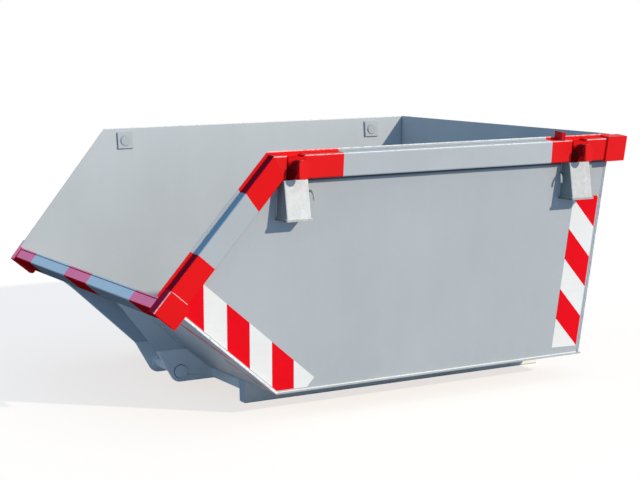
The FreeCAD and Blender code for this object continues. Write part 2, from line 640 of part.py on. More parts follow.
def draw_slot(sketch, x, low, high, width):
    """Upright plate with round ends."""
    radius = value(width) / 2
    across = value(x)
    top = FreeCAD.Vector(across, value(high), 0)
    foot = FreeCAD.Vector(across, value(low), 0)
    side_vector = FreeCAD.Vector(radius, 0, 0)
    up = FreeCAD.Vector(0, radius, 0)
    left = sketch.addGeometry(Part.LineSegment(top - side_vector, foot - side_vector), False)
    lower = sketch.addGeometry(Part.Arc(foot - side_vector, foot - up, foot + side_vector), False)
    right = sketch.addGeometry(Part.LineSegment(foot + side_vector, top + side_vector), False)
    upper = sketch.addGeometry(Part.Arc(top + side_vector, top + up, top - side_vector), False)
    sketch.addConstraint(Sketcher.Constraint("Tangent", left, 2, lower, 1))
    sketch.addConstraint(Sketcher.Constraint("Tangent", lower, 2, right, 1))
    sketch.addConstraint(Sketcher.Constraint("Tangent", right, 2, upper, 1))
    sketch.addConstraint(Sketcher.Constraint("Tangent", upper, 2, left, 1))
    fix_point(sketch, lower, 3, (x, low))
    fix_point(sketch, upper, 3, (x, high))
    size = sketch.addConstraint(Sketcher.Constraint("Radius", lower, radius))
    sketch.setExpression("Constraints[%d]" % size, "(%s) / 2" % width)


def box_y(below, reach):
    return "(dims.top_half_width - (%s) * tan(%s) + %s)" % (below, FLARE, reach)


RIM_PANEL = box_y(RIM_FOOT, "0")
BOX_FOOT = "(%s + dims.box_height)" % RIM_FOOT
BOX_FOOT_Z = "(dims.top_height - %s)" % BOX_FOOT
PLATE_FOOT = "(%s + dims.foot_thickness)" % BOX_FOOT
FOOT_REACH = "(dims.top_half_width + dims.box_foot_reach + dims.foot_lap)"


def leaning(y, z, out="0"):
    """Upright (y, z) point, and a distance out from there, in the frame of the leaning side plane."""
    across_part = "(%s - %s)" % (y, FOOT_HALF)
    up_part = "(%s - %s)" % (z, FLOOR_TOP)
    return ("(%s * cos(%s) - %s * sin(%s) + %s)" % (across_part, FLARE, up_part, FLARE, out),
            "(%s * sin(%s) + %s * cos(%s))" % (across_part, FLARE, up_part, FLARE))


def box_edges(side, top, foot):
    """Test for the two bent edges of a stacking box."""
    ends = [(side * value(point[0]), value(point[1])) for point in (top, foot)]

    def wanted(start, finish):
        pair = (start.y, start.z), (finish.y, finish.z)
        return (same(pair[0], ends[0]) and same(pair[1], ends[1])) \
            or (same(pair[1], ends[0]) and same(pair[0], ends[1]))
    return wanted


def across_body(label, side, points, middle, width):
    """Piece with its outline across the skip, extruded along the skip about a middle plane."""
    body = new_body(label)
    outline = new_sketch(body, "YZ_Plane")
    draw_polygon(outline, [("%d * %s" % (side, y), z) for y, z in points])
    pad(body, outline, width, midplane=True)
    place(body, x=middle)
    return body


for end, pin in (("front", FRONT_PIN), ("rear", REAR_PIN)):
    for name, side in SIDES:
        tag = "%s_%s" % (end, name)
        lifting = new_body("lifting_pin_" + tag)
        shaft = new_sketch(lifting, "XZ_Plane", "%d * %s" % (-side, PIN_START))
        draw_circle(shaft, ("0", PIN_Z), "dims.pin_diameter")
        pad(lifting, shaft, "(%s - %s)" % (HEAD_INNER, PIN_START), reverse=side > 0)
        place(lifting, x=pin)
        head = new_body("pin_head_" + tag)
        plate = new_sketch(head, "XZ_Plane", "%d * %s" % (-side, HEAD_INNER))
        draw_slot(plate, "0", "(%s - dims.head_below)" % PIN_Z, "(%s + dims.head_above)" % PIN_Z,
                  "dims.head_width")
        pad(head, plate, "dims.head_thickness", reverse=side > 0)
        place(head, x=pin)

        half_size = "(dims.doubler_size / 2)"
        doubler = new_body("pin_doubler_" + tag)
        square = new_sketch(doubler, "XZ_Plane", "%d * dims.side_thickness" % side)
        corners = [(-1, -1), (1, -1), (1, 1), (-1, 1)]
        pin_x, pin_z = pin_point(pin)
        draw_polygon(square, [("(%s + %d * %s)" % (pin_x, across, half_size),
                               "(%s + %d * %s)" % (pin_z, up, half_size)) for across, up in corners])
        pad(doubler, square, "dims.doubler_thickness", reverse=side < 0)
        hole = new_sketch(doubler, "XZ_Plane", "%d * dims.side_thickness" % side)
        draw_circle(hole, (pin_x, pin_z), PIN_HOLE)
        pocket(doubler, hole, "4 * dims.doubler_thickness", midplane=True)
        side_place(doubler, side)

        box = new_body("stacking_box_" + tag)
        wall = "dims.box_wall"
        top_reach = "(dims.box_top_reach + %s * tan(%s))" % (RIM_FOOT, FLARE)
        foot_out = box_y(BOX_FOOT, "(dims.box_foot_reach + %s * tan(%s))" % (BOX_FOOT, FLARE))
        outer = [leaning(RIM_PANEL, TUBE_FOOT_Z), leaning(RIM_PANEL, TUBE_FOOT_Z, top_reach),
                 leaning(foot_out, BOX_FOOT_Z), leaning(box_y(BOX_FOOT, "0"), BOX_FOOT_Z)]
        section = new_sketch(box, "YZ_Plane", pin)
        draw_polygon(section, [("%d * %s" % (side, y), z) for y, z in outer])
        pad(box, section, "dims.box_width", midplane=True)
        round_edges(box, "dims.box_radius", box_edges(side, outer[1], outer[2]))
        inner = [("(%s - %s)" % (outer[0][0], OVERRUN), "(%s - %s)" % (outer[0][1], wall)),
                 ("(%s - %s)" % (outer[1][0], wall), "(%s - %s)" % (outer[1][1], wall)),
                 ("(%s - %s)" % (outer[2][0], wall), outer[2][1]),
                 ("(%s - %s)" % (outer[2][0], wall), "(%s - %s)" % (outer[2][1], OVERRUN)),
                 ("(%s - %s)" % (outer[3][0], OVERRUN), "(%s - %s)" % (outer[2][1], OVERRUN))]
        hollow = new_sketch(box, "YZ_Plane", pin)
        draw_polygon(hollow, [("%d * %s" % (side, y), z) for y, z in inner])
        pocket(box, hollow, "dims.box_width - 2 * dims.box_wall", midplane=True)
        if end == "front":
            corner_cut = new_sketch(box, "XZ_Plane")
            draw_polygon(corner_cut, side_points([
                rim_point("%s / 2" % RIM_LENGTH, "(%s + dims.seat_gap)" % RIM_FOOT),
                knee_point("(%s + dims.seat_gap)" % RIM_FOOT),
                knee_point("dims.upstand"), rim_point("%s / 2" % RIM_LENGTH, "dims.upstand")]))
            pocket(box, corner_cut, "4 * dims.box_foot_reach", midplane=True)
        side_place(box, side)

        foot = across_body(
            "box_foot_" + tag, side,
            [(box_y(BOX_FOOT, "0"), "(dims.top_height - %s)" % BOX_FOOT),
             (FOOT_REACH, "(dims.top_height - %s)" % BOX_FOOT),
             (FOOT_REACH, "(dims.top_height - %s)" % PLATE_FOOT),
             (box_y(PLATE_FOOT, "0"), "(dims.top_height - %s)" % PLATE_FOOT)],
            pin, "(dims.box_width + 2 * dims.foot_lap)")
        far_edge = value(FOOT_REACH)
        round_edges(foot, "dims.foot_corner",
                    lambda start, finish: abs(start.z - finish.z) > NEAR
                    and same((abs(start.y), abs(finish.y)), (far_edge, far_edge)))

# Net hooks: round bar out of the side panel and bent down.
HOOK_Z = "(dims.top_height - dims.hook_drop)"
HOOK_ROOT = box_y("(dims.hook_drop - dims.hook_bar / 2)", "0")


HOOK_TURN = "(dims.hook_reach - dims.hook_bend)"
TURN_Z = "(%s - dims.hook_bend)" % HOOK_Z
BAR_FLATS = 12
BEND_RUNS = 3
HOOK_PATH = [("0", HOOK_Z)]
for run in range(BEND_RUNS + 1):
    bent = "(%d * 90deg / %d)" % (run, BEND_RUNS)
    HOOK_PATH.append(("(%s + dims.hook_bend * sin(%s))" % (HOOK_TURN, bent),
                      "(%s + dims.hook_bend * cos(%s))" % (TURN_Z, bent)))
HOOK_PATH.append(("dims.hook_reach", "(%s - dims.hook_leg)" % TURN_Z))


def draw_bar(sketch, centre):
    """Section of the hook's bar, drawn with flats so that the bend keeps few facets."""
    points = []
    for flat in range(BAR_FLATS):
        angle = "(%d * 360deg / %d)" % (flat, BAR_FLATS)
        points.append(("(%s + dims.hook_bar / 2 * cos(%s))" % (centre[0], angle),
                       "(%s + dims.hook_bar / 2 * sin(%s))" % (centre[1], angle)))
    draw_polygon(sketch, points)


def draw_path(sketch, points):
    """Open line of straight runs with every corner dimensioned."""
    numbers = [FreeCAD.Vector(value(x), value(y), 0) for x, y in points]
    runs = len(points) - 1
    for index in range(runs):
        sketch.addGeometry(Part.LineSegment(numbers[index], numbers[index + 1]), False)
    for index in range(runs - 1):
        sketch.addConstraint(Sketcher.Constraint("Coincident", index, 2, index + 1, 1))
    for index in range(runs):
        fix_point(sketch, index, 1, points[index])
    fix_point(sketch, runs - 1, 2, points[runs])


for end, station, turned in (("front", "(%s + dims.hook_after_pin)" % FRONT_PIN, "0"),
                             ("rear", "(%s - dims.hook_before_pin)" % REAR_PIN, "dims.hook_turn_angle")):
    for name, side in SIDES:
        hook = new_body("net_hook_%s_%s" % (end, name))
        root = new_sketch(hook, "XZ_Plane")
        draw_bar(root, ("0", HOOK_Z))
        path = new_sketch(hook, "YZ_Plane")
        draw_path(path, [("%d * %s" % (side, y), z) for y, z in HOOK_PATH])
        sweep = hook.newObject("PartDesign::AdditivePipe", hook.Name + "_sweep")
        sweep.Profile = root
        sweep.Spine = (path, ["Edge%d" % (run + 1) for run in range(len(HOOK_PATH) - 1)])
        sweep.Transition = "Right corner"
        doc.recompute()
        lift = "dims.hook_bar / 2 * sin(%s * 1deg)" % turned
        place(hook, x=station, y="%d * (%s + %s)" % (side, HOOK_ROOT, lift),
              axis=Z_AXIS, angle="%d * %s" % (side, turned))

# Stop bracket on the left rim: a plate across the rim with a return along its outer edge.
stop_bracket = new_body("stop_bracket")
plan = new_sketch(stop_bracket, "XY_Plane",
                  "((%s - dims.upstand) / cos(%s))" % (BODY_HEIGHT, FLARE))
STOP_BACK = "(%s + dims.stop_return)" % STOP_FRONT
STOP_OUT = "(-1 * dims.rim_depth)"
draw_polygon(plan, [
    (STOP_FRONT, "0"),
    (STOP_FRONT, STOP_OUT),
    (STOP_BACK, STOP_OUT),
    (STOP_BACK, "(%s + dims.stop_sheet)" % STOP_OUT),
    ("(%s + dims.stop_sheet)" % STOP_FRONT, "(%s + dims.stop_sheet)" % STOP_OUT),
    ("(%s + dims.stop_sheet)" % STOP_FRONT, "0"),
])
pad(stop_bracket, plan, "dims.stop_height")
side_place(stop_bracket, -1)

# Runners under the floor, closed at the front, with a plate on the rear end.
RUNNER_END = FLOOR_END
for name, side in SIDES:
    runner = new_body("runner_" + name)
    section = new_sketch(runner, "YZ_Plane")
    inner_side = "(%d * dims.runner_middle - dims.runner_width / 2)" % side
    outer_side = "(%d * dims.runner_middle + dims.runner_width / 2)" % side
    draw_polygon(section, [(inner_side, "0"), (outer_side, "0"),
                           (outer_side, "dims.runner_height"), (inner_side, "dims.runner_height")])
    runner_length = "(%s - dims.runner_plate - %s)" % (RUNNER_END, RUNNER_FRONT)
    pad(runner, section, runner_length)
    round_edges(runner, "dims.runner_radius",
                lambda start, finish: abs(start.y - finish.y) < NEAR and abs(start.z - finish.z) < NEAR)
    bore = new_sketch(runner, "YZ_Plane", "dims.runner_plate")
    wall = "dims.runner_wall"
    draw_polygon(bore, [("(%s + %s)" % (inner_side, wall), wall), ("(%s - %s)" % (outer_side, wall), wall),
                        ("(%s - %s)" % (outer_side, wall), "(dims.runner_height - %s)" % wall),
                        ("(%s + %s)" % (inner_side, wall), "(dims.runner_height - %s)" % wall)])
    pocket(runner, bore, runner_length, reverse=True)
    place(runner, x=RUNNER_FRONT)
    closer = doc.addObject("Part::Box", "runner_plate_" + name)
    closer.Label = "runner_plate_" + name
    closer.setExpression("Length", "dims.runner_plate")
    closer.setExpression("Width", "dims.runner_width")
    closer.setExpression("Height", "dims.runner_height")
    place(closer, x="(%s - dims.runner_plate)" % RUNNER_END, y=inner_side)

# Tie bars from the tipping brackets to the runners.
for name, side in SIDES:
    tie = doc.addObject("Part::Box", "front_tie_" + name)
    tie.Label = "front_tie_" + name
    tie_length = "(dims.runner_middle - dims.runner_width / 2 - dims.bracket_outside)"
    tie.setExpression("Length", "dims.tie_thickness")
    tie.setExpression("Width", tie_length)
    tie.setExpression("Height", "dims.tie_height")
    tie_start = "dims.bracket_outside" if side > 0 else "(-1 * (dims.bracket_outside + %s))" % tie_length
    place(tie, x=RUNNER_FRONT, y=tie_start,
          z="(dims.runner_height - dims.tie_drop - dims.tie_height)")

# Tipping brackets: the front and bottom edges are tangent to the round nose about the axle.
NOSE_LOW = "(%s - dims.bracket_nose)" % AXLE_Z
NOSE_X = "(%s - dims.bracket_nose / sin(%s) + dims.bracket_nose / tan(%s))" % (AXLE_X, EDGE, EDGE)
FRONT_TOP_X = "(%s - dims.bracket_nose / sin(%s) - (%s - %s) / tan(%s))" % (
    AXLE_X, EDGE, BRACKET_TOP, AXLE_Z, EDGE)


def under_slope(height):
    """Plan length at which the slope plate's underside has a given height."""
    return "(%s - (%s + dims.floor_thickness / sin(%s) - %s) * tan(%s))" % (
        BEND_X, height, RIM, FLOOR_TOP, RIM)


BRACKET_BACK = "(%s + dims.bracket_tail)" % RUNNER_FRONT
for name, side in SIDES:
    bracket = new_body("tipping_bracket_" + name)
    outline = new_sketch(bracket, "XZ_Plane",
                         "%d * (dims.bracket_outside - dims.bracket_thickness)" % -side)
    draw_polygon(outline, [
        (FRONT_TOP_X, BRACKET_TOP),
        (NOSE_X, NOSE_LOW),
        (BRACKET_BACK, NOSE_LOW),
        (BRACKET_BACK, "dims.runner_height"),
        ("(%s - dims.floor_thickness * tan(45deg - %s / 2))" % (BEND_X, RIM), "dims.runner_height"),
        (under_slope(BRACKET_TOP), BRACKET_TOP),
    ])
    pad(bracket, outline, "dims.bracket_thickness", reverse=side > 0)
    round_edges(bracket, "dims.bracket_nose", across([(NOSE_X, NOSE_LOW)]))
    hole = new_sketch(bracket, "XZ_Plane", "%d * dims.bracket_outside" % -side)
    draw_circle(hole, (AXLE_X, AXLE_Z), "(dims.axle_diameter + dims.axle_play)")
    pocket(bracket, hole, "4 * dims.bracket_thickness", midplane=True)
    place(bracket)

# Tipping axle, turned: shaft, two inner collars and the discs on its ends.
axle = new_body("tipping_axle")
turned = new_sketch(axle, "YZ_Plane")
INSIDE = "(dims.bracket_outside - dims.bracket_thickness)"
SHAFT = "(dims.axle_diameter / 2)"
COLLAR = "(dims.collar_diameter / 2)"
DISC = "(dims.head_disc_diameter / 2)"
step = [
    ("(dims.bracket_outside + dims.head_disc_width)", "0"),
    ("(dims.bracket_outside + dims.head_disc_width)", DISC),
    ("dims.bracket_outside", DISC),
    ("dims.bracket_outside", SHAFT),
    (INSIDE, SHAFT),
    (INSIDE, COLLAR),
    ("(%s - dims.collar_width)" % INSIDE, COLLAR),
    ("(%s - dims.collar_width)" % INSIDE, SHAFT),
]
opposite = [("-1 * %s" % y, z) for y, z in reversed(step)]
draw_polygon(turned, step + opposite)
turning = axle.newObject("PartDesign::Revolution", "tipping_axle_turning")
turning.Profile = turned
turning.ReferenceAxis = (turned, ["H_Axis"])
turning.Angle = 360
doc.recompute()
place(axle, x=AXLE_X, z=AXLE_Z)

# Gusset webs: from the brackets up and outward to the slope plate and the lip beam's rear face.
WEB_FOOT = "(%s + dims.web_thickness * sin(%s))" % (BRACKET_TOP, SPREAD)
LIP_REAR = rim_point("(dims.lip_step - dims.floor_thickness - dims.rim_depth)", LIP_RIGHT)
WEB_SHIFT = "dims.seat_gap"


def web_point(height):
    return "(%s - %s)" % (under_slope(height), WEB_SHIFT), height


WEB_TOP_Z = rim_point("(dims.lip_step - dims.floor_thickness)", "(%s + dims.seat_gap)" % LIP_RIGHT)[1]
for name, side in SIDES:
    web = new_body("gusset_web_" + name)
    outline = new_sketch(web, "XZ_Plane")
    corners = [
        (FRONT_TOP_X, WEB_FOOT),
        web_point(WEB_FOOT),
        web_point("(%s - dims.seat_gap)" % WEB_TOP_Z),
        rim_point("(dims.lip_step - dims.floor_thickness - dims.rim_depth)", "(%s + dims.seat_gap)" % LIP_RIGHT),
    ]
    draw_polygon(outline, [lean_point(point, WEB_FOOT, SPREAD) for point in corners])
    pad(web, outline, "dims.web_thickness", reverse=side > 0)
    place(web, y="%d * (dims.bracket_outside - dims.web_thickness * cos(%s))" % (side, SPREAD),
          z=WEB_FOOT, axis=X_AXIS,
          angle="%d * dims.spread_angle" % -side)

doc.recompute()

# Every object is checked before anything is written.
pieces = []
for item in doc.Objects:
    if "Invalid" in item.State or "Error" in item.State:
        raise RuntimeError("failed object: " + item.Label)
    if item.TypeId in ("PartDesign::Body", "Part::Box"):
        pieces.append(item)
for item in pieces:
    if item.Shape.isNull() or not item.Shape.isValid():
        raise RuntimeError("bad shape: " + item.Label)
    if len(item.Shape.Solids) != 1:
        raise RuntimeError("not one solid: " + item.Label)

os.makedirs("parts", exist_ok=True)
for item in pieces:
    item.Shape.exportStep(os.path.join("parts", item.Label + ".step"))
print("pieces", len(pieces))
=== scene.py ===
"""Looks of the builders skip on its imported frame: camera, light, paint, zinc, hazard tape, welds and net hooks."""
from math import atan2, ceil, cos, pi, radians, sin, tan

import bmesh
import bpy
from mathutils import Matrix, Vector


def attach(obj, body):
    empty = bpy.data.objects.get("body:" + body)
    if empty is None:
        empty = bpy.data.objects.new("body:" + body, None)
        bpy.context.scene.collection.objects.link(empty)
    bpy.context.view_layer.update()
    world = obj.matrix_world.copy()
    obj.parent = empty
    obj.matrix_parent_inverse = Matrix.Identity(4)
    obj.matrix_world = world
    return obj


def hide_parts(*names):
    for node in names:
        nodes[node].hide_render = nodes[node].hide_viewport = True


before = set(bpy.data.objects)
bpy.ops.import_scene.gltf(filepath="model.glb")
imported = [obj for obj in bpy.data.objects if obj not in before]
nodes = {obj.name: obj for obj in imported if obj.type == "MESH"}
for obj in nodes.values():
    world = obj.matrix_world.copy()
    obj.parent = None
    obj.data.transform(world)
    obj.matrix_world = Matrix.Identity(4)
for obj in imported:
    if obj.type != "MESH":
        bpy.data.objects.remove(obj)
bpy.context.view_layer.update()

SIDES = (("left", -1), ("right", 1))
ENDS = ("front", "rear")

# ---------------------------------------------------------------- the skip's own sizes, in metres
FLARE = radians(5.5)                    # outward lean of the side panels
LEAN = radians(5.2)                     # backward lean of the rear panel
RIM = radians(49.4)                     # slope of the rim's low end
FALL = pi / 2 - RIM                     # slope of the front plate
TOP_Y, TOP_Z = 0.890, 1.137             # top edge of a side panel
FLOOR_Z = 0.116                         # top of the floor plate
PANEL_T = (TOP_Z - FLOOR_Z) / cos(FLARE)  # height of a side panel in its own plane
PANEL_THICK = 0.004
LIP = (-1.1227, 0.4715)                 # corners of a side panel in its own plane: along the skip, up the panel
KNEE = (-0.6499, PANEL_T)
BEND = (-0.5752, 0.0)
REAR_FOOT = (1.0093, 0.0)
REAR_TOP = (1.1022, PANEL_T)
SLOPE_TOP = (-1.1227, 0.5853)           # upper edge of the front plate, upright
SLOPE_LONG = 0.7212
RIM_CORNER = (-1.16569, 0.5352)         # where the rim's sloped line would end, upright
UPSTAND, RIM_HIGH, RIM_DEEP = 0.012, 0.100, 0.050
RIM_FOOT = UPSTAND + RIM_HIGH
CAP_LONG, CAP_FOOT, CAP_ROUND = 0.110, 0.132, 0.025
PINS = {"front": -0.5447, "rear": 0.8973}
PIN_Z, PIN_R = 1.074, 0.025
GAP_HALF, BOSS_HALF, BOSS_TOP_Z = 0.0425, 0.035, 1.116
HEAD_Y = 0.9919                         # inner face of a pin's head plate
BOX_HALF, BOX_FOOT_Z, BOX_OUT = 0.056, 0.862, 0.960
BLOCK_FRONT = 0.0502                    # rear block ahead of the rear panel
AXLE = (-0.7147, 0.0995)
BRACKET_Y = 0.130
WEB_LEAN = radians(33.6)
RUNNER_Y, RUNNER_HALF, RUNNER_FRONT = 0.437, 0.030, -0.5567


# ---------------------------------------------------------------- camera, light and floor
CAMERA_ANGLES = (-29.127, 7.766, -0.560)  # azimuth, height and roll in degrees
CAMERA_PLACE = (-3.55462, -6.52988, 1.64117)
CAMERA_LENS, CAMERA_SENSOR = 88.83, 36.0
SUN_WAY, SUN_COLOUR = (0.445, -1.0, 0.500), (1.0, 0.87, 0.68)
SUN_POWER, SUN_WIDTH = 2.96, radians(1.3)
SKY, WHITE = (0.30, 0.45, 0.60, 1), (1, 1, 1, 1)
FLOOR_REACH = 60.0
FLOOR_LIT, FLOOR_SEEN = (0.34, 0.40, 0.48), (0.38, 0.38, 0.38)  # base colour towards the skip and towards the camera
FLOOR_GLOW = (0.742, 0.704, 0.675, 1)   # lifts the seen floor to the background's white


def make_camera():
    """Camera at the photograph's viewing angle."""
    azimuth, height, roll = (radians(angle) for angle in CAMERA_ANGLES)
    back = Vector((sin(azimuth) * cos(height), -cos(azimuth) * cos(height), sin(height)))
    right = (-back).cross(Vector((0, 0, 1))).normalized()
    up = right.cross(-back)
    turned = Matrix((cos(roll) * right + sin(roll) * up, cos(roll) * up - sin(roll) * right, back)).transposed()
    data = bpy.data.cameras.new("camera")
    data.lens, data.sensor_width, data.sensor_fit = CAMERA_LENS, CAMERA_SENSOR, "HORIZONTAL"
    camera = bpy.data.objects.new("camera", data)
    camera.matrix_world = Matrix.Translation(CAMERA_PLACE) @ turned.to_4x4()
    bpy.context.scene.collection.objects.link(camera)
    bpy.context.scene.camera = camera


def background_rays(tree):
    """1 for the rays that show the background: those of the camera, of glossy and of clear surfaces."""
    ray = tree.nodes.new("ShaderNodeLightPath")
    first = tree.nodes.new("ShaderNodeMath")
    second = tree.nodes.new("ShaderNodeMath")
    first.operation = second.operation = "MAXIMUM"
    tree.links.new(ray.outputs["Is Camera Ray"], first.inputs[0])
    tree.links.new(ray.outputs["Is Glossy Ray"], first.inputs[1])
    tree.links.new(first.outputs[0], second.inputs[0])
    tree.links.new(ray.outputs["Is Transmission Ray"], second.inputs[1])
    return second.outputs[0]


def make_light():
    """Low sun from the near side, and a soft bluish sky that the camera sees as white."""
    sun = bpy.data.lights.new("sun", "SUN")
    sun.energy, sun.color, sun.angle = SUN_POWER, SUN_COLOUR, SUN_WIDTH
    lamp = bpy.data.objects.new("sun", sun)
    lamp.rotation_euler = Vector(SUN_WAY).to_track_quat("Z", "Y").to_euler()
    bpy.context.scene.collection.objects.link(lamp)
    world = bpy.data.worlds.new("world")
    bpy.context.scene.world = world
    world.use_nodes = True
    tree = world.node_tree
    tree.nodes.clear()
    sky = tree.nodes.new("ShaderNodeBackground")
    sky.inputs["Color"].default_value = SKY
    white = tree.nodes.new("ShaderNodeBackground")
    white.inputs["Color"].default_value = WHITE
    mix = tree.nodes.new("ShaderNodeMixShader")
    out = tree.nodes.new("ShaderNodeOutputWorld")
    tree.links.new(background_rays(tree), mix.inputs[0])
    tree.links.new(sky.outputs[0], mix.inputs[1])
    tree.links.new(white.outputs[0], mix.inputs[2])
    tree.links.new(mix.outputs[0], out.inputs["Surface"])


def make_floor():
    """Pale floor, as white as the background to the camera, with the skip's shadow on it."""
    mesh = bpy.data.meshes.new("floor")
    corners = [(a * FLOOR_REACH, b * FLOOR_REACH, 0) for a, b in ((-1, -1), (1, -1), (1, 1), (-1, 1))]
    mesh.from_pydata(corners, [], [(0, 1, 2, 3)])
    floor = bpy.data.objects.new("floor", mesh)
    bpy.context.scene.collection.objects.link(floor)
    paint = Paint("floor_pale")
    seen = background_rays(paint.tree)
    paint.link(paint.mix(seen, FLOOR_LIT, FLOOR_SEEN), paint.shader.inputs["Base Color"])
    paint.shader.inputs["Roughness"].default_value = 0.9
    paint.shader.inputs["Specular IOR Level"].default_value = 0.0
    paint.shader.inputs["Emission Color"].default_value = FLOOR_GLOW
    paint.link(seen, paint.shader.inputs["Emission Strength"])
    mesh.materials.append(paint.material)


# ---------------------------------------------------------------- materials
class Paint:
    """A material with one Principled shader, and short calls for the nodes that feed it."""

    def __init__(self, name):
        self.material = bpy.data.materials.new(name)
        self.material.use_nodes = True
        self.tree = self.material.node_tree
        self.shader = self.tree.nodes["Principled BSDF"]
        self.place = self.node("TexCoord").outputs["Object"]
        split = self.node("SeparateXYZ")
        self.link(self.place, split.inputs[0])
        self.x, self.y, self.z = split.outputs

    def node(self, kind):
        return self.tree.nodes.new("ShaderNode" + kind)

    def link(self, source, socket):
        if isinstance(source, (int, float)):
            socket.default_value = source
        elif isinstance(source, tuple):
            socket.default_value = source + (1,) if len(source) == 3 and len(socket.default_value) == 4 else source
        else:
            self.tree.links.new(source, socket)

    def maths(self, operation, a, b=0.0, c=0.0):
        node = self.node("Math")
        node.operation = operation
        for value, socket in zip((a, b, c), node.inputs):
            self.link(value, socket)
        return node.outputs[0]

    def linear(self, *terms, start=0.0):
        """start plus each source times its factor."""
        total = start
        for source, factor in terms:
            total = self.maths("MULTIPLY_ADD", source, factor, total)
        return total

    def above(self, value, limit, soft=0.0):
        """1 where value is over limit, 0 below it."""
        if soft:
            return self.ramp(value, limit - soft, limit + soft)
        return self.maths("GREATER_THAN", value, limit)

    def below(self, value, limit):
        return self.maths("LESS_THAN", value, limit)

    def both(self, a, b):
        return self.maths("MULTIPLY", a, b)

    def either(self, a, b):
        return self.maths("MAXIMUM", a, b)

    def outside(self, value, low, high):
        """1 where value is under low or over high."""
        return self.either(self.above(value, high), self.below(value, low))

    def ramp(self, value, low, high, first=0.0, last=1.0):
        node = self.node("MapRange")
        names = ("Value", "From Min", "From Max", "To Min", "To Max")
        for source, name in zip((value, low, high, first, last), names):
            self.link(source, node.inputs[name])
        return node.outputs[0]

    def mix(self, factor, a, b, blend="MIX"):
        node = self.node("Mix")
        node.data_type, node.blend_type = "RGBA", blend
        self.link(factor, node.inputs[0])
        self.link(a, node.inputs[6])
        self.link(b, node.inputs[7])
        return node.outputs[2]

    def shade(self, colour, tone):
        """The colour times a tone."""
        node = self.node("CombineColor")
        for socket in node.inputs:
            self.link(tone, socket)
        return self.mix(1.0, colour, node.outputs[0], "MULTIPLY")

    def noise(self, scale, detail=3.0, roughness=0.5, stretch=None):
        source = self.place
        if stretch:
            node = self.node("Mapping")
            self.link(self.place, node.inputs[0])
            node.inputs["Scale"].default_value = stretch
            source = node.outputs[0]
        node = self.node("TexNoise")
        self.link(source, node.inputs["Vector"])
        node.inputs["Scale"].default_value = scale
        node.inputs["Detail"].default_value = detail
        node.inputs["Roughness"].default_value = roughness
        return node.outputs[0]

    def bump(self, height, strength, distance, under=None):
        node = self.node("Bump")
        node.inputs["Strength"].default_value = strength
        node.inputs["Distance"].default_value = distance
        self.link(height, node.inputs["Height"])
        if under is not None:
            self.link(under, node.inputs["Normal"])
        return node.outputs[0]


GREY = (0.450, 0.490, 0.540)
RIM_GREY = (0.480, 0.520, 0.572)
RED = (0.800, 0.0120, 0.0150)
# painted shade: the stop bracket's darker red, and the darker sloped top of the near lip cap
BRACKET_SHADE_RED, CAP_TOP_SHADE_RED = (0.54, 0.008, 0.018), (0.42, 0.016, 0.055)
LIP_SKYLIT_GREY, LIP_SKYLIT_RED = (0.53, 0.70, 0.85), (0.98, 0.25, 0.46)  # painted sky light: the lip's front face paler and bluer than its paint
LIP_SKY_SHEEN = 0.30                        # metallic sheen on them: painted sky reflection
PRIMER, DUST = (0.120, 0.105, 0.100), (0.34, 0.32, 0.29)
# dark red for painted shade on the lifting pins; dark grey for the axle's weld ring
PIN_SHADE_RED, AXLE_RING_DARK = (0.20, 0.005, 0.009), (0.14, 0.15, 0.16)
EDGE_HIGHLIGHT_GREY, EDGE_HIGHLIGHT_RED = (0.86, 0.89, 0.92), (0.98, 0.60, 0.60)  # painted highlight: pale edges and ledges that catch the light
SLOPE_TOP_SHADE_GREY, SLOPE_TOP_SHADE_RED = (0.21, 0.36, 0.52), (0.25, 0.007, 0.024)  # painted shade: the rim's sloped top, which the sun misses, darker and bluer
UNDERFRAME_LIT_GREY, TIE_LIT_GREY = (0.60, 0.67, 0.74), (0.92, 0.95, 0.98)  # painted light: paler frame and ties under the floor, lifting them out of their shade
FLANK_LIT_GREY = (0.98, 0.95, 0.92)         # painted light: paler still on the runners' flanks
STREAK_RED = (0.600, 0.016, 0.040)
# the second zinc colour is painted shade on the boxes' faces that look along the skip
ZINC_PALE, ZINC_FLANK_SHADE = (0.700, 0.720, 0.745), (0.215, 0.285, 0.315)

SLOPE_RED = (0.218, 0.528)              # grey part of the sloped rim, from the lip corner along it
SLOPE_SKEW = 0.205                      # slant of its upper end across the rim
LONG_RED = (-0.321, 0.744)              # grey part of the long rim
LIP_BANDS = (-0.602, -0.113, 0.162, 0.614)  # colour changes across the lip
LIP_FACE = 0.0128                       # the lip's front face ends here, down the slope
STREAK_SLANT = 0.49                     # red streaks: way inward for each length down the front plate
UPPER_STREAK, LOWER_STREAK = 0.285, 0.398  # where the two streaks' lines start
UPPER_SPAN, LOWER_START = (0.12, 0.47), 0.50  # and their lengths down the plate
BOSS_SHADE = (1.086, 1.100)             # heights between which the painted shadow of a pin and its head on the boss fades out
TUBE_EDGE_Z = TOP_Z - UPSTAND * cos(FLARE) - RIM_DEEP * sin(FLARE)  # upper outer edge of the long rim
EDGE = 0.0040                           # how far the painted highlight reaches from an edge
ON_TOP = (-sin(RIM), 0, cos(RIM))       # way that the rim's sloped top looks
UNDER = (-cos(RIM), 0, -sin(RIM))       # way that the undersides of the front plate and the lip look
FLANKS = ((0, -1, 0), (0, 1, 0))
ENDWAYS = ((-1, 0, 0), (1, 0, 0))


def lip_bands(paint):
    """Red bands across the lip."""
    bands = paint.either(paint.below(paint.y, LIP_BANDS[0]), paint.above(paint.y, LIP_BANDS[3]))
    return paint.either(bands, paint.both(paint.above(paint.y, LIP_BANDS[1]), paint.below(paint.y, LIP_BANDS[2])))


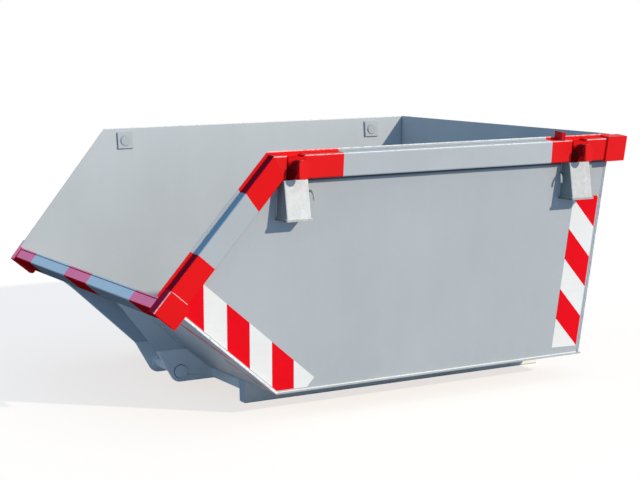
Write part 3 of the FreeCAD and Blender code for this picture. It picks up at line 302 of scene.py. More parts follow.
def down_slope(paint):
    """Distance down the front plate from its upper edge."""
    return paint.linear((paint.x, cos(FALL)), (paint.z, -sin(FALL)),
                        start=-SLOPE_TOP[0] * cos(FALL) + SLOPE_TOP[1] * sin(FALL))


def lip_face(paint):
    """The front face of the lip, which the slope plate and the lip beam share."""
    return paint.below(down_slope(paint), LIP_FACE)


def along_slope(paint):
    """Distance up the sloped rim from the lip corner."""
    return paint.linear((paint.x, cos(RIM)), (paint.z, sin(RIM)),
                        start=-LIP[0] * cos(RIM) - (LIP[1] + FLOOR_Z) * sin(RIM))


def off_slope(paint):
    """Distance into the side panel from its sloped edge."""
    return paint.linear((paint.x, sin(RIM)), (paint.z, -cos(RIM)),
                        start=-RIM_CORNER[0] * sin(RIM) + RIM_CORNER[1] * cos(RIM))


def off_panel(paint):
    """Distance out from a side panel's outer face, level."""
    return paint.linear((paint.maths("ABSOLUTE", paint.y), 1.0), (paint.z, -tan(FLARE)),
                        start=TOP_Z * tan(FLARE) - TOP_Y)


def faces(paint, way):
    """1 on faces that look that way, by the mesh's own normals."""
    product = paint.node("VectorMath")
    product.operation = "DOT_PRODUCT"
    paint.link(paint.node("NewGeometry").outputs["Normal"], product.inputs[0])
    product.inputs[1].default_value = way
    return paint.above(product.outputs["Value"], 0.85, 0.05)


def slope_red(paint):
    """Red ends of the sloped rim; the upper one is cut on a slant."""
    along = along_slope(paint)
    slanted = paint.linear((along, 1.0), (off_slope(paint), SLOPE_SKEW), start=-UPSTAND * SLOPE_SKEW)
    return paint.either(paint.below(along, SLOPE_RED[0]), paint.above(slanted, SLOPE_RED[1]))


def red_streaks(paint):
    """Two ragged streaks of red under the near edge of the front plate, slanting towards the bend."""
    down = down_slope(paint)
    inward = paint.maths("MULTIPLY", off_panel(paint), -1.0)
    slant = paint.linear((inward, 1.0), (down, STREAK_SLANT))
    upper = paint.maths("ABSOLUTE", paint.maths("SUBTRACT", slant, UPPER_STREAK))
    lower = paint.maths("ABSOLUTE", paint.maths("SUBTRACT", slant, LOWER_STREAK))
    middle = paint.maths("ABSOLUTE", paint.maths("SUBTRACT", down, 0.35))
    upper = paint.above(paint.maths("SUBTRACT", paint.ramp(middle, 0.03, 0.12, 0.038, 0.016), upper), 0.0)
    upper = paint.both(upper, paint.both(paint.above(down, UPPER_SPAN[0]), paint.below(down, UPPER_SPAN[1])))
    lower = paint.both(paint.below(lower, 0.017), paint.above(down, LOWER_START))
    ragged = paint.above(paint.noise(22.0, 4.0, 0.6, stretch=(0.6, 2.5, 0.6)), 0.40, 0.03)
    ragged = paint.both(ragged, paint.below(paint.y, 0.0))
    return paint.both(paint.both(paint.either(upper, lower), ragged), faces(paint, UNDER))


def red_mask(paint, kind):
    """Where the hazard red lies on a node of that kind, 0 for a grey node and None for a red one."""
    if kind == "rear_panel":
        return 0.0
    if kind == "rim_slope":
        return slope_red(paint)
    if kind == "rim_long":
        return paint.outside(paint.x, *LONG_RED)
    if kind == "lip_beam":
        return lip_bands(paint)
    if kind == "front_slope_plate":
        return paint.both(lip_bands(paint), lip_face(paint))
    if kind == "side_panel":
        under_top = paint.maths("SUBTRACT", TOP_Z, paint.z)
        top = paint.both(paint.below(under_top, RIM_FOOT), paint.outside(paint.x, *LONG_RED))
        slope = paint.both(paint.below(off_slope(paint), RIM_FOOT), slope_red(paint))
        top = paint.both(top, paint.above(paint.x, KNEE[0]))
        slope = paint.both(slope, paint.below(paint.x, KNEE[0] + 0.02))
        return paint.both(paint.either(top, slope), paint.above(off_panel(paint), -PANEL_THICK / 2))
    if kind == "lifting_pin":
        return paint.above(paint.maths("ABSOLUTE", paint.y), TOP_Y - 0.008)
    return None


def highlight_edge(paint, kind):
    """Painted highlights along edges and the rear panel's ledge, or None."""
    if kind == "side_panel":
        return paint.above(paint.z, TOP_Z - EDGE)
    if kind == "rear_panel":
        return paint.above(off_panel(paint), 0.0)
    if kind == "front_slope_plate":
        return paint.both(paint.above(off_panel(paint), EDGE), paint.maths("SUBTRACT", 1.0, lip_face(paint)))
    if kind.startswith(("rim_", "lip_cap")):
        top = paint.both(paint.above(paint.x, KNEE[0]), paint.above(paint.z, TUBE_EDGE_Z - EDGE))
        slope = paint.both(paint.below(paint.x, KNEE[0] + 0.02), paint.below(off_slope(paint), UPSTAND + EDGE))
        return paint.both(paint.above(off_panel(paint), RIM_DEEP / cos(FLARE) - EDGE), paint.either(top, slope))
    return None


def panel_tone(paint):
    """Tone of a side panel: lighter towards the top of its inner face, and a painted shadow of the long rim outside,
    close under it.
    """
    inner = paint.below(off_panel(paint), -PANEL_THICK / 2)
    rise = paint.ramp(paint.z, 0.6, TOP_Z, 0.0, 0.11)
    below_rim = paint.maths("SUBTRACT", TOP_Z - RIM_FOOT, paint.z)
    # painted shadow: darker band on the outer face just below the long rim
    painted_rim_shadow = paint.both(paint.ramp(below_rim, 0.013, 0.021, 0.80, 0.0), paint.above(paint.x, PINS["front"]))
    painted_rim_shadow = paint.both(painted_rim_shadow, paint.maths("SUBTRACT", 1.0, inner))
    painted_rim_shadow = paint.both(painted_rim_shadow, paint.above(below_rim, -0.004))
    return paint.maths("SUBTRACT", paint.maths("MULTIPLY_ADD", inner, rise, 1.0), painted_rim_shadow)


def worn_colour(paint, kind):
    """Enamel of a kind: its colours, red streaks, a lighter inner panel, and painted shade, painted light, painted sky
    reflection and painted highlights on some faces and edges.
    """
    # painted shade: the stop bracket darker red all over
    if kind == "stop_bracket":
        return BRACKET_SHADE_RED
    # painted light: the runners paler, more so on their flanks
    if kind == "runner":
        return paint.mix(paint.either(*(faces(paint, way) for way in FLANKS)), UNDERFRAME_LIT_GREY, FLANK_LIT_GREY)
    mask = red_mask(paint, kind)
    base = RED if mask is None else paint.mix(mask, RIM_GREY if kind == "rim_long" else GREY, RED)
    # painted shade: the pin dark red outside the panel, where its head shades it
    if kind == "lifting_pin":
        base = paint.mix(paint.above(paint.maths("ABSOLUTE", paint.y), TOP_Y), base, PIN_SHADE_RED)
    if kind == "side_panel":
        base = paint.shade(base, panel_tone(paint))
    if kind == "front_slope_plate":
        base = paint.mix(red_streaks(paint), base, STREAK_RED)
    # painted sky light on the lip's front face
    if kind in LIP_KINDS:
        base = paint.mix(lip_face(paint), base, paint.mix(lip_bands(paint), LIP_SKYLIT_GREY, LIP_SKYLIT_RED))
    # painted shade on the sloped rim's top
    if kind == "rim_slope":
        base = paint.mix(faces(paint, ON_TOP), base, paint.mix(mask, SLOPE_TOP_SHADE_GREY, SLOPE_TOP_SHADE_RED))
    # the lip cap's sloped top: painted shade on the near cap, painted sky light on the far one
    if kind == "lip_cap":
        far = paint.above(paint.y, 0.0)
        base = paint.mix(faces(paint, ON_TOP), base, paint.mix(far, CAP_TOP_SHADE_RED, LIP_SKYLIT_RED))
    # painted shade: the lip beam's underside darker
    if kind == "lip_beam":
        base = paint.shade(base, paint.ramp(faces(paint, UNDER), 0.0, 1.0, 1.0, 0.55))
    # painted shadow of the pin and its head on the lower boss
    if kind == "pin_boss":
        base = paint.shade(base, paint.ramp(paint.z, *BOSS_SHADE, 0.26, 1.0))
    # painted highlight along edges, broken up by noise
    edge = highlight_edge(paint, kind)
    if edge is None:
        return base
    highlight_colour = EDGE_HIGHLIGHT_RED if mask is None else paint.mix(mask, EDGE_HIGHLIGHT_GREY, EDGE_HIGHLIGHT_RED)
    return paint.mix(paint.both(edge, paint.ramp(paint.noise(60.0, 2.0), 0.30, 0.55, 0.35, 1.0)), base, highlight_colour)


LIP_KINDS = ("lip_beam", "front_slope_plate")
MATT_KINDS = ("lip_beam", "lip_cap", "rim_slope", "pin_boss", "lifting_pin")


def steel_paint(name, kind=None, base=None):
    """Sprayed enamel, of a kind of node or of one colour: cloudiness, runs, dust, orange peel and chips."""
    paint = Paint(name)
    if kind:
        base = worn_colour(paint, kind)
    cloud = paint.ramp(paint.noise(2.2, 4.0, 0.55), 0.3, 0.7, 0.960, 1.030)
    streak = paint.ramp(paint.noise(9.0, 2.0, 0.5, stretch=(1.0, 1.0, 0.12)), 0.25, 0.75, 0.985, 1.012)
    grain = paint.ramp(paint.noise(160.0, 2.0), 0.3, 0.7, 0.985, 1.015)
    colour = paint.shade(base, paint.both(paint.both(cloud, streak), grain))
    low = paint.both(paint.ramp(paint.z, 0.30, 0.0, 0.0, 0.16), paint.ramp(paint.noise(14.0, 5.0, 0.65), 0.42, 0.68))
    colour = paint.mix(low, colour, DUST)
    rough = paint.ramp(paint.noise(26.0, 3.0), 0.3, 0.7, 0.36, 0.47)
    if kind != "side_panel":
        chips = paint.above(paint.noise(38.0, 6.0, 0.62), 0.735, 0.012)
        chips = paint.both(chips, paint.above(paint.noise(5.5, 2.0), 0.57, 0.05))
        colour = paint.mix(paint.both(chips, 0.75), colour, PRIMER)
        rough = paint.either(rough, paint.both(chips, 0.7))
    paint.link(colour, paint.shader.inputs["Base Color"])
    paint.link(rough, paint.shader.inputs["Roughness"])
    peel = paint.bump(paint.noise(520.0, 2.0), 0.12, 0.0006)
    paint.link(paint.bump(paint.noise(3.2, 2.0), 0.10, 0.012, peel), paint.shader.inputs["Normal"])
    paint.shader.inputs["Specular IOR Level"].default_value = 0.0 if kind in MATT_KINDS else 0.08
    # metallic sheen on the lip's front face and the far lip cap's sloped top: painted sky reflection
    if kind in LIP_KINDS:
        paint.link(paint.both(lip_face(paint), LIP_SKY_SHEEN), paint.shader.inputs["Metallic"])
    if kind == "lip_cap":
        far_cap_sheen = paint.both(faces(paint, ON_TOP), paint.above(paint.y, 0.0))
        paint.link(paint.both(far_cap_sheen, LIP_SKY_SHEEN), paint.shader.inputs["Metallic"])
    return paint.material


def galvanised():
    """Hot-dip zinc: pale and dull, with large soft crystals, drips and veins, and painted shade on the faces that look
    along the skip.
    """
    paint = Paint("galvanised_steel")
    cells = paint.node("TexVoronoi")
    paint.link(paint.place, cells.inputs["Vector"])
    cells.inputs["Scale"].default_value = 55.0
    split = paint.node("SeparateColor")
    paint.link(cells.outputs["Color"], split.inputs[0])
    edges = paint.node("TexVoronoi")
    edges.feature = "DISTANCE_TO_EDGE"
    paint.link(paint.place, edges.inputs["Vector"])
    edges.inputs["Scale"].default_value = 30.0
    vein = paint.ramp(edges.outputs["Distance"], 0.0, 0.06, 0.90, 1.0)
    spangle = paint.ramp(split.outputs[0], 0.0, 1.0, 0.93, 1.03)
    cloud = paint.ramp(paint.noise(11.0, 4.0), 0.3, 0.7, 0.93, 1.04)
    streak = paint.ramp(paint.noise(40.0, 3.0, 0.6, stretch=(1.0, 1.0, 0.08)), 0.3, 0.7, 0.94, 1.03)
    tone = paint.both(paint.both(spangle, cloud), paint.both(vein, streak))
    foot = paint.ramp(paint.z, BOX_FOOT_Z - 0.001, BOX_FOOT_Z + 0.001, 0.70, 1.0)
    # the zinc darker towards the rear
    rear_darker = paint.ramp(paint.x, 0.0, 0.1, 1.0, 0.86)
    # painted shade on the box faces that look along the skip
    zinc = paint.mix(paint.either(*(faces(paint, way) for way in ENDWAYS)), ZINC_PALE, ZINC_FLANK_SHADE)
    paint.link(paint.shade(zinc, paint.both(paint.both(tone, foot), rear_darker)), paint.shader.inputs["Base Color"])
    paint.link(paint.ramp(split.outputs[1], 0.0, 1.0, 0.42, 0.58), paint.shader.inputs["Roughness"])
    paint.link(paint.bump(paint.noise(90.0, 3.0), 0.15, 0.001), paint.shader.inputs["Normal"])
    paint.shader.inputs["Specular IOR Level"].default_value = 0.18
    return paint.material


TAPE_PITCH = 0.1403                     # one stripe along the band
TAPE_RED, TAPE_WHITE = (0.840, 0.004, 0.012), (0.850, 0.860, 0.885)


def tape_material(name, along_x, along_z, start):
    """Retroreflective tape over a fine cell pattern; its stripes follow start + along_x * X + along_z * Z."""
    paint = Paint(name)
    phase = paint.linear((paint.x, along_x / (2 * TAPE_PITCH)), (paint.z, along_z / (2 * TAPE_PITCH)),
                         start=start / (2 * TAPE_PITCH))
    stripe = paint.below(paint.maths("FRACT", phase), 0.5)
    colour = paint.mix(stripe, TAPE_WHITE, TAPE_RED)
    cells = paint.node("TexVoronoi")
    cells.feature = "DISTANCE_TO_EDGE"
    cells.inputs["Scale"].default_value = 260.0
    cells.inputs["Randomness"].default_value = 0.15
    paint.link(paint.place, cells.inputs["Vector"])
    wall = paint.ramp(cells.outputs["Distance"], 0.02, 0.12)
    cloud = paint.ramp(paint.noise(7.0, 4.0), 0.3, 0.7, 0.965, 1.02)
    colour = paint.shade(colour, paint.both(cloud, paint.ramp(wall, 0.0, 1.0, 0.98, 1.0)))
    paint.link(colour, paint.shader.inputs["Base Color"])
    paint.shader.inputs["Roughness"].default_value = 0.32
    paint.shader.inputs["Specular IOR Level"].default_value = 0.06
    paint.link(paint.bump(wall, 0.10, 0.0004), paint.shader.inputs["Normal"])
    return paint.material


make_camera()
make_light()
make_floor()
bpy.context.scene.view_settings.view_transform = "Standard"

GREY_PAINT = steel_paint("grey_paint", base=GREY)
RED_PAINT = steel_paint("red_paint", base=RED)
# pale grey paint: painted highlights on edges and beads
HIGHLIGHT_PAINT = steel_paint("grey_highlight", base=EDGE_HIGHLIGHT_GREY)
# dark grey for the weld ring round the tipping axle
AXLE_RING_PAINT = steel_paint("grey_axle_ring", base=AXLE_RING_DARK)
# pale red paint: painted highlights on edges and beads
RED_HIGHLIGHT_PAINT = steel_paint("red_highlight", base=EDGE_HIGHLIGHT_RED)
# dark red: painted shade on the lifting pins and their beads
PIN_SHADE_PAINT = steel_paint("red_pin_shade", base=PIN_SHADE_RED)
# paler paints for the frame under the floor: painted light
UNDERFRAME_LIT_PAINT = steel_paint("grey_underframe_lit", base=UNDERFRAME_LIT_GREY)
TIE_LIT_PAINT = steel_paint("grey_tie_lit", base=TIE_LIT_GREY)
ZINC = galvanised()
BANDED = {kind: steel_paint("paint_" + kind, kind)
          for kind in ("rim_slope", "rim_long", "rim_stub", "rim_tail", "lip_beam", "lip_cap", "front_slope_plate",
                       "rear_panel", "side_panel", "lifting_pin", "pin_boss", "stop_bracket", "runner")}
RED_KINDS = ("pin_head", "rear_block")
# nodes in the paler underframe and tie paints: painted light
LOW_KINDS = ("gusset_web",)
UNDER_LIT_KINDS = ("front_tie", "tipping")
ZINC_KINDS = ("stacking_box", "box_foot")


def finish_of(name):
    """The material of a node, from its name."""
    for kind, material in BANDED.items():
        if name.startswith(kind):
            return material
    if name.startswith(RED_KINDS):
        return RED_PAINT
    if name.startswith(LOW_KINDS):
        return UNDERFRAME_LIT_PAINT
    if name.startswith(UNDER_LIT_KINDS):
        return TIE_LIT_PAINT
    return ZINC if name.startswith(ZINC_KINDS) else GREY_PAINT


PLATE_KINDS = ("side_panel", "floor_plate", "front_slope_plate", "rear_panel")
for name, node in nodes.items():
    node.data.materials.clear()
    node.data.materials.append(finish_of(name))
    join = node.modifiers.new("join", "WELD")
    join.merge_threshold = 0.00002
    soften = node.modifiers.new("soften", "BEVEL")
    soften.width = 0.0008 if name.startswith(PLATE_KINDS) else 0.0015
    soften.segments, soften.limit_method, soften.angle_limit = 2, "ANGLE", radians(40)
    soften.harden_normals = False
    shade = node.modifiers.new("shade", "WEIGHTED_NORMAL")
    shade.keep_sharp = False


# ---------------------------------------------------------------- places on the skip
def on_panel(side, x, up, out=0.0):
    """A point on the outer face of a side panel: x along the skip, up the panel's plane, out of it."""
    y = TOP_Y - (TOP_Z - FLOOR_Z) * tan(FLARE) + up * sin(FLARE) + out * cos(FLARE)
    return Vector((x, side * y, FLOOR_Z + up * cos(FLARE) - out * sin(FLARE)))


def skin(side, point, out=0.0):
    """A point on the outer face of a side panel from its place in side view, and a distance out from there."""
    return on_panel(side, point[0], (point[1] - FLOOR_Z) / cos(FLARE), out)


def rim_point(along, across):
    """Side view: up the rim's sloped line from the lip corner, and down into the panel."""
    return (RIM_CORNER[0] + along * cos(RIM) + across * sin(RIM), RIM_CORNER[1] + along * sin(RIM) - across * cos(RIM))


def knee_point(across):
    return KNEE[0] + across * tan(RIM / 2), TOP_Z - across


def rear_point(below):
    """Side view: on the rear edge, a height below the top edge."""
    return REAR_TOP[0] - below * tan(LEAN), TOP_Z - below


def slope_point(down, lift=0.0):
    """Side view: down the front plate from its upper edge, and off its inner face."""
    return (SLOPE_TOP[0] + down * cos(FALL) + lift * sin(FALL), SLOPE_TOP[1] - down * sin(FALL) + lift * cos(FALL))


def ring(centre, axis, radius, count=28):
    """A closed circle of points."""
    axis = Vector(axis).normalized()
    across = axis.orthogonal().normalized()
    other = axis.cross(across)
    turns = [2 * pi * k / count for k in range(count)]
    return [Vector(centre) + radius * (cos(a) * across + sin(a) * other) for a in turns + turns[:2]]


# ---------------------------------------------------------------- new pieces
def add_piece(name, mesh, material):
    piece = bpy.data.objects.new(name, mesh)
    bpy.context.scene.collection.objects.link(piece)
    mesh.materials.append(material)
    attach(piece, "root")
    return piece


def spaced(path, step):
    """Points along straight runs, no further apart than the step."""
    points = [Vector(p) for p in path]
    places = []
    for start, end in zip(points, points[1:]):
        count = max(1, ceil((end - start).length / step))
        places += [start.lerp(end, i / count) for i in range(count)]
    return places + [points[-1]]


def string(shape, places, sizes, around=8):
    """A round string through the places, with a radius at each, closed at both ends."""
    rings, last = [], None
    for i, (place, size) in enumerate(zip(places, sizes)):
        ahead = (places[min(i + 1, len(places) - 1)] - places[max(i - 1, 0)]).normalized()
        last = ahead.orthogonal().normalized() if last is None else (last - last.dot(ahead) * ahead).normalized()
        other = ahead.cross(last)
        rings.append([shape.verts.new(place + size * (cos(a) * last + sin(a) * other))
                      for a in (2 * pi * k / around for k in range(around))])
    for one, two in zip(rings, rings[1:]):
        for k in range(around):
            shape.faces.new((one[k], one[(k + 1) % around], two[(k + 1) % around], two[k]))
    shape.faces.new(list(reversed(rings[0])))
    shape.faces.new(rings[-1])


def finish_shape(shape, name, material, smooth=True):
    bmesh.ops.recalc_face_normals(shape, faces=shape.faces)
    mesh = bpy.data.meshes.new(name)
    shape.to_mesh(mesh)
    shape.free()
    for face in mesh.polygons:
        face.use_smooth = smooth
    return add_piece(name, mesh, material)


def bead(name, paths, radius, material=None, step=0.008):
    """Weld beads along the paths: strings whose ripples come from rings of changing size, thin at their ends."""
    shape = bmesh.new()
    for path in paths:
        places = spaced(path, step)
        sizes = [radius * (1.0 + 0.12 * sin(2.1 * i) + 0.06 * sin(5.3 * i + 1.0)) for i in range(len(places))]
        sizes[0] = sizes[-1] = radius * 0.5
        string(shape, places, sizes)
    return finish_shape(shape, name, material or GREY_PAINT)


def red_bead(name, paths, radius, step=0.008, highlit=False):
    return bead(name, paths, radius, RED_HIGHLIGHT_PAINT if highlit else RED_PAINT, step)


def plate(name, low, high, material):
    """A flat plate between two outlines with the same number of corners."""
    shape = bmesh.new()
    one, two = ([shape.verts.new(point) for point in outline] for outline in (low, high))
    shape.faces.new(one)
    shape.faces.new(list(reversed(two)))
    for k in range(len(one)):
        shape.faces.new((one[k], two[k], two[(k + 1) % len(one)], one[(k + 1) % len(one)]))
    return finish_shape(shape, name, material, smooth=False)


def slab(name, outline, material, side, lift=0.0001, thick=0.0006):
    """A thin sheet on the outer face of a side panel; outline is in the panel's plane."""
    low, high = ([on_panel(side, x, up, out) for x, up in outline] for out in (lift, lift + thick))
    return plate(name, low, high, material)


# ---------------------------------------------------------------- hazard tapes
TAPE_WIDE, TAPE_MARGIN = 0.141, 0.0125
FRONT_MARGIN = 0.0085                   # the front tape lies nearer to its edge
EDGE_FALL = atan2(BEND[1] - LIP[1], BEND[0] - LIP[0])   # direction of the panel's sloping lower edge
FRONT_TAPE = (0.114, 0.8285)            # ends of the front tape, from the lip corner along the lower edge
FRONT_PHASE = 0.2765                    # first red-to-white change of the front tape
REAR_TAPE = (0.033, 0.742)              # ends of the rear tape up the panel
REAR_PHASE, REAR_SKEW = 0.034, 0.004
TAPE_LEAN = 0.932                       # slant of the front stripes across the band
BOTTOM_CUT = TAPE_MARGIN * 0.7          # the panel's bottom edge trims the front tape


def along_edge(s, n):
    """A point s along the panel's sloping lower edge from the lip corner, and n inward of it."""
    return (LIP[0] + s * cos(EDGE_FALL) - n * sin(EDGE_FALL), LIP[1] + s * sin(EDGE_FALL) + n * cos(EDGE_FALL))


def rear_edge(up):
    return REAR_FOOT[0] + (REAR_TOP[0] - REAR_FOOT[0]) * up / PANEL_T


def front_outline():
    """Five corners: the far end is cut level by the panel's bottom edge."""
    low, high = FRONT_MARGIN, TAPE_MARGIN + TAPE_WIDE
    first, last = FRONT_TAPE
    bottom_at_low = (LIP[1] + low * cos(EDGE_FALL) - BOTTOM_CUT) / -sin(EDGE_FALL)
    end_n = (BOTTOM_CUT - LIP[1] - last * sin(EDGE_FALL)) / cos(EDGE_FALL)
    return [along_edge(*place) for place in
            ((first, low), (bottom_at_low, low), (last, end_n), (last, high), (first, high))]


def rear_outline():
    foot, top = REAR_TAPE
    return [(rear_edge(up) - TAPE_MARGIN - inward, up) for up, inward in
            ((foot, 0), (top, 0), (top, TAPE_WIDE), (foot + REAR_SKEW, TAPE_WIDE))]


def make_tapes():
    """Stripes that run on across each band, on thin sheets on both side panels."""
    front_x = cos(EDGE_FALL) - TAPE_LEAN * sin(EDGE_FALL)
    front_up = sin(EDGE_FALL) + TAPE_LEAN * cos(EDGE_FALL)
    front_start = -LIP[0] * front_x - (LIP[1] + FLOOR_Z / cos(FLARE)) * front_up - FRONT_PHASE + TAPE_PITCH
    front = tape_material("tape_front", front_x, front_up / cos(FLARE), front_start)
    rear_up = (1 - (REAR_TOP[0] - REAR_FOOT[0]) / PANEL_T) / cos(FLARE)
    rear = tape_material("tape_rear", 1.0, rear_up, -REAR_FOOT[0] + TAPE_MARGIN - FLOOR_Z * rear_up - REAR_PHASE)
    for side_name, side in SIDES:
        slab("tape_front_" + side_name, front_outline(), front, side)
        slab("tape_rear_" + side_name, rear_outline(), rear, side)


# ---------------------------------------------------------------- net hooks
HOOK_BAR, HOOK_REACH, HOOK_BEND, HOOK_LEG = 0.005, 0.039, 0.032, 0.006
HOOK_Z, HOOK_ROOT_Y = 0.967, 0.8741
HOOK_START = -0.003                     # inside the panel's thickness
HOOKS = {"front": (PINS["front"] + 0.095, 0.0), "rear": (PINS["rear"] - 0.062, radians(30))}


def hook_path(end, side):
    """The bar's middle line: out of the panel, round a quarter bend and down."""
    x, turned = HOOKS[end]
    centre = (HOOK_REACH - HOOK_BEND, HOOK_Z - HOOK_BEND)
    bends = [pi / 2 * k / 10 for k in range(11)]
    line = [(HOOK_START, HOOK_Z)]
    line += [(centre[0] + HOOK_BEND * sin(a), centre[1] + HOOK_BEND * cos(a)) for a in bends]
    line += [(HOOK_REACH, centre[1] - HOOK_LEG * k) for k in (0.4, 0.75, 0.95, 1.0)]
    y = HOOK_ROOT_Y + HOOK_BAR * sin(turned)
    return [Vector((x - out * sin(turned), side * (y + out * cos(turned)), z)) for out, z in line]


def make_hooks():
    """Smooth round bars with rounded tips, for the CAD hooks of few flats."""
    for end in ENDS:
        for side_name, side in SIDES:
            places = hook_path(end, side)
            sizes = [HOOK_BAR] * (len(places) - 2) + [HOOK_BAR * 0.85, HOOK_BAR * 0.45]
            shape = bmesh.new()
            string(shape, places, sizes, around=14)
            hook = finish_shape(shape, "hook_bar_%s_%s" % (end, side_name), GREY_PAINT)
            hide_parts("net_hook_%s_%s" % (end, side_name))


# ---------------------------------------------------------------- weld beads
SEAT = 0.0015                           # middle of a bead off both plates of its corner
CREST, CREST_OUT = UPSTAND - 0.001, 0.001  # bead on the rim tubes' top, below the panel's edge and out from it
LINE_START = 0.0677                     # the lip corner on the rim's line, where the paint's lengths start
BOX_CLEAR = BOX_HALF + 0.004
DOUBLER_HALF, DOUBLER_DROP = 0.041, 0.0008
RUNNER_WELD_Z = 0.1088


def rim_beads(name, side, below, tail, out, radius, start, skew, clear, to_pin):
    """Beads along a line of the rim, red and grey as the paint there.

    below: under the panel's top edge; tail: where the line ends at the rear block; skew: the slanted
    change of colour, back along this line; clear: kept free beside a pin; to_pin: also from the knee on.
    """
    def slope(along):
        return skin(side, rim_point(along, below), out)

    def top(x):
        return skin(side, (x, TOP_Z - below), out)

    change = slope(SLOPE_RED[0] + LINE_START), slope(SLOPE_RED[1] + LINE_START - skew)
    long = top(LONG_RED[0]), top(LONG_RED[1])
    knee = [change[1], skin(side, knee_point(below), out)]
    if to_pin:
        knee.append(top(PINS["front"] - clear))
    red_bead("weld_rim_%s_red" % name,
             [[slope(start), change[0]], knee, [top(PINS["front"] + clear), long[0]],
              [long[1], top(PINS["rear"] - clear)],
              [top(PINS["rear"] + clear), top(rear_point(tail)[0] - BLOCK_FRONT)]], radius)
    bead("weld_rim_%s_grey" % name, [change, long], radius)


def side_beads(side_name, side):
    """Beads along a side panel, its rim and its corner pieces."""
    # pale bead along the skirt: painted highlight
    slope_end = slope_point(SLOPE_LONG, SEAT)
    bead("weld_skirt_" + side_name,
         [[skin(side, point, SEAT) for point in
           (slope_point(0.150, SEAT), slope_end, (REAR_FOOT[0] - 0.004, FLOOR_Z + SEAT))]], 0.0030, HIGHLIGHT_PAINT)
    bead("weld_inside_" + side_name,
         [[skin(side, point, -PANEL_THICK - SEAT) for point in
           (slope_point(0.016, SEAT), slope_end, (REAR_FOOT[0] - SEAT, FLOOR_Z + SEAT),
            (REAR_TOP[0] - 0.004 - SEAT, TOP_Z - 0.004))]], 0.0032)
    # pale bead up the rear edge: painted light on a shaded strip
    bead("weld_rear_" + side_name,
         [[skin(side, (REAR_FOOT[0] - SEAT, FLOOR_Z + 0.004), SEAT),
           skin(side, (rear_point(CAP_FOOT)[0] - SEAT, TOP_Z - CAP_FOOT), SEAT)]], 0.0020, HIGHLIGHT_PAINT)
    rim_beads("foot_" + side_name, side, RIM_FOOT + SEAT, RIM_FOOT, SEAT, 0.0026, CAP_LONG + 0.002,
              SLOPE_SKEW * RIM_HIGH, BOX_CLEAR, False)
    rim_beads("top_" + side_name, side, CREST, CREST, CREST_OUT, 0.0022, CAP_LONG, 0.0, GAP_HALF, True)
    turn = [rim_point(CAP_LONG - CAP_ROUND + CAP_ROUND * sin(a), CAP_FOOT - CAP_ROUND + CAP_ROUND * cos(a))
            for a in (pi / 2 * k / 5 for k in range(4))]
    # pale red bead round the cap: painted highlight
    red_bead("weld_cap_" + side_name,
             [[skin(side, point, 0.0015) for point in [rim_point(0.004, CAP_FOOT + 0.001)] + turn],
              [skin(side, rim_point(CAP_LONG + 0.001, across), RIM_DEEP + 0.0004)
               for across in (RIM_FOOT - 0.004, UPSTAND + 0.006)]], 0.0018, highlit=True)
    block_x = rear_point(UPSTAND)[0] - BLOCK_FRONT - 0.001
    corner_x, corner_z = rear_point(0.004)[0], TOP_Z - 0.004 + 0.0008
    red_bead("weld_block_" + side_name,
             [[skin(side, (rear_point(u)[0] - BLOCK_FRONT - 0.001, TOP_Z - u), RIM_DEEP + 0.0008)
               for u in (UPSTAND + 0.004, RIM_FOOT - 0.004)],
              [skin(side, (block_x, TOP_Z - UPSTAND + 0.0006), out) for out in (0.002, RIM_DEEP - 0.004)],
              [skin(side, (x, corner_z), 0.0008) for x in (corner_x - BLOCK_FRONT, corner_x)]], 0.0024)


def box_beads(tag, side, pin, end):
    """Beads beside and under a stacking box."""
    box_y = TOP_Y - (TOP_Z - BOX_FOOT_Z) * tan(FLARE)
    beside, rise = BOX_HALF + 0.0012, BOX_FOOT_Z + 0.0012
    top_z = TOP_Z - RIM_FOOT - 0.003
    ahead_z = top_z - 0.035 if end == "front" else top_z  # the sloped rim comes lower ahead of a front box
    near_y, out_y = box_y + 0.002, BOX_OUT + 0.0012
    corners = ((-beside, near_y), (-beside, out_y), (beside, out_y), (beside, near_y))
    bead("weld_box_" + tag,
         [[skin(side, (pin - beside, z), 0.0012) for z in (ahead_z, rise)],
          [skin(side, (pin + beside, z), 0.0012) for z in (top_z, rise)],
          [(pin + x, side * y, rise) for x, y in corners]], 0.0022, ZINC)


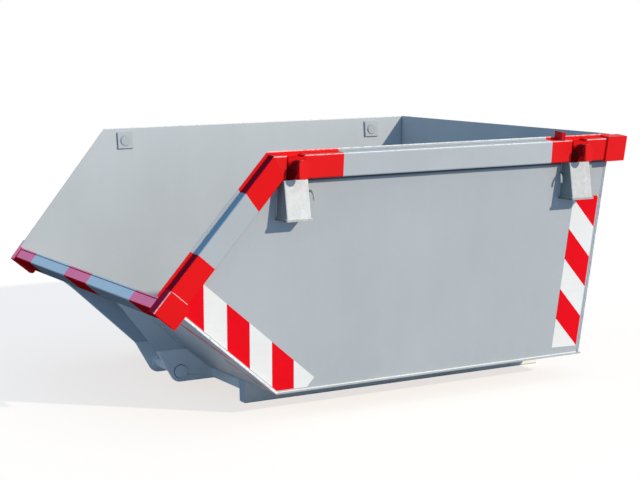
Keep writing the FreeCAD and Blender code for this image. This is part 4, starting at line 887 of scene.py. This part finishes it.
def pin_beads(side_name, side, end):
    """Beads round a lifting pin, its box, boss, doubler and net hook, and the end of the long rim tube."""
    tag, pin = "%s_%s" % (end, side_name), PINS[end]
    box_beads(tag, side, pin, end)
    lean_axis = (0, cos(FLARE), -side * sin(FLARE))
    # beads round the pin in dark red: painted shade
    bead("weld_pin_" + tag,
         [ring(skin(side, (pin, PIN_Z + 0.0048), RIM_DEEP), lean_axis, PIN_R + 0.0016),
          ring((pin, side * HEAD_Y, PIN_Z), (0, 1, 0), PIN_R + 0.001)], 0.0026, PIN_SHADE_PAINT, step=0.006)
    red_bead("weld_boss_" + tag,
             [[skin(side, (pin + x, BOSS_TOP_Z + 0.001), 0.0015) for x in (0.003 - BOSS_HALF, BOSS_HALF - 0.003)]],
             0.0026, step=0.006)
    gap, gap_top = (BOSS_HALF + GAP_HALF) / 2 + 0.0002, TOP_Z - UPSTAND - 0.0045
    red_bead("weld_gap_" + tag,
             [[skin(side, (pin + gap, z), out) for z, out in
               ((TOP_Z - RIM_FOOT + 0.008, RIM_DEEP - 0.005), (gap_top, RIM_DEEP - 0.005), (gap_top, 0.004))]], 0.0042)
    inward = 1 if end == "front" else -1
    corners = ((UPSTAND + 0.002, 0.002), (RIM_FOOT - 0.002, 0.002), (RIM_FOOT - 0.002, RIM_DEEP - 0.002),
               (UPSTAND + 0.002, RIM_DEEP - 0.002))
    low, high = ([skin(side, (pin + inward * (GAP_HALF + d), TOP_Z - across), out) for across, out in corners]
                 for d in (0.002, 0.005))
    plate("rim_end_" + tag, low, high, RED_PAINT)
    middle_z = PIN_Z - DOUBLER_DROP
    square = [skin(side, (pin + a * DOUBLER_HALF, middle_z + b * DOUBLER_HALF), -PANEL_THICK - 0.001)
              for a, b in ((-1, -1), (1, -1), (1, 1), (-1, 1), (-1, -1))]
    inside = skin(side, (pin, middle_z), -PANEL_THICK - 0.012)
    bead("weld_doubler_" + tag, [square, ring(inside, lean_axis, PIN_R + 0.0012)], 0.0028)
    root = hook_path(end, side)[1]
    bead("weld_hook_" + tag, [ring((root.x, side * HOOK_ROOT_Y, HOOK_Z), (0, 1, 0), HOOK_BAR + 0.0006, 14)],
         0.0024, step=0.004)


def under_beads(side_name, side):
    """Beads of the frame under the floor: web, bracket, tie and runner, then the tipping axle."""
    under = 0.0062 / sin(FALL)
    bracket_y = side * (BRACKET_Y + 0.001)

    def web_edge(z):
        """On the near face of a web, at the front plate's underside."""
        x = SLOPE_TOP[0] + (SLOPE_TOP[1] - z) / tan(FALL)
        return x - under * cos(FALL), side * (BRACKET_Y + (z - 0.200) * tan(WEB_LEAN) + 0.001), z - 0.001

    runner = [[(x, side * (RUNNER_Y + a * (RUNNER_HALF + 0.0012)), RUNNER_WELD_Z)
               for x in (RUNNER_FRONT + 0.004, 1.013)] for a in (1, -1)]
    # pale beads: painted highlight along the frame's welds
    bead("weld_under_" + side_name,
         [[web_edge(0.215), web_edge(0.500)],
          [(-0.828, bracket_y, 0.2005), (-0.700, bracket_y, 0.2005)],
          [(RUNNER_FRONT + 0.0005, bracket_y, z) for z in (0.057, 0.097)],
          [(RUNNER_FRONT - 0.0005, side * (RUNNER_Y - RUNNER_HALF - 0.001), z) for z in (0.057, 0.097)]] + runner,
         0.0030, HIGHLIGHT_PAINT)
    # dark grey ring bead round the tipping axle
    bead("weld_axle_" + side_name,
         [ring((AXLE[0], side * (BRACKET_Y + 0.0005), AXLE[1]), (0, 1, 0), 0.0295)], 0.0026, AXLE_RING_PAINT)


make_tapes()
make_hooks()
for side_name, side in SIDES:
    side_beads(side_name, side)
    for end in ENDS:
        pin_beads(side_name, side, end)
    under_beads(side_name, side)

half = TOP_Y - (TOP_Z - FLOOR_Z) * tan(FLARE) - PANEL_THICK - 0.002
bead("weld_cross",
     [[(BEND[0], y, FLOOR_Z + 0.0005) for y in (-half, half)],
      [(REAR_FOOT[0] - 0.0012, y, FLOOR_Z + 0.0012) for y in (-half, half)]], 0.0030)
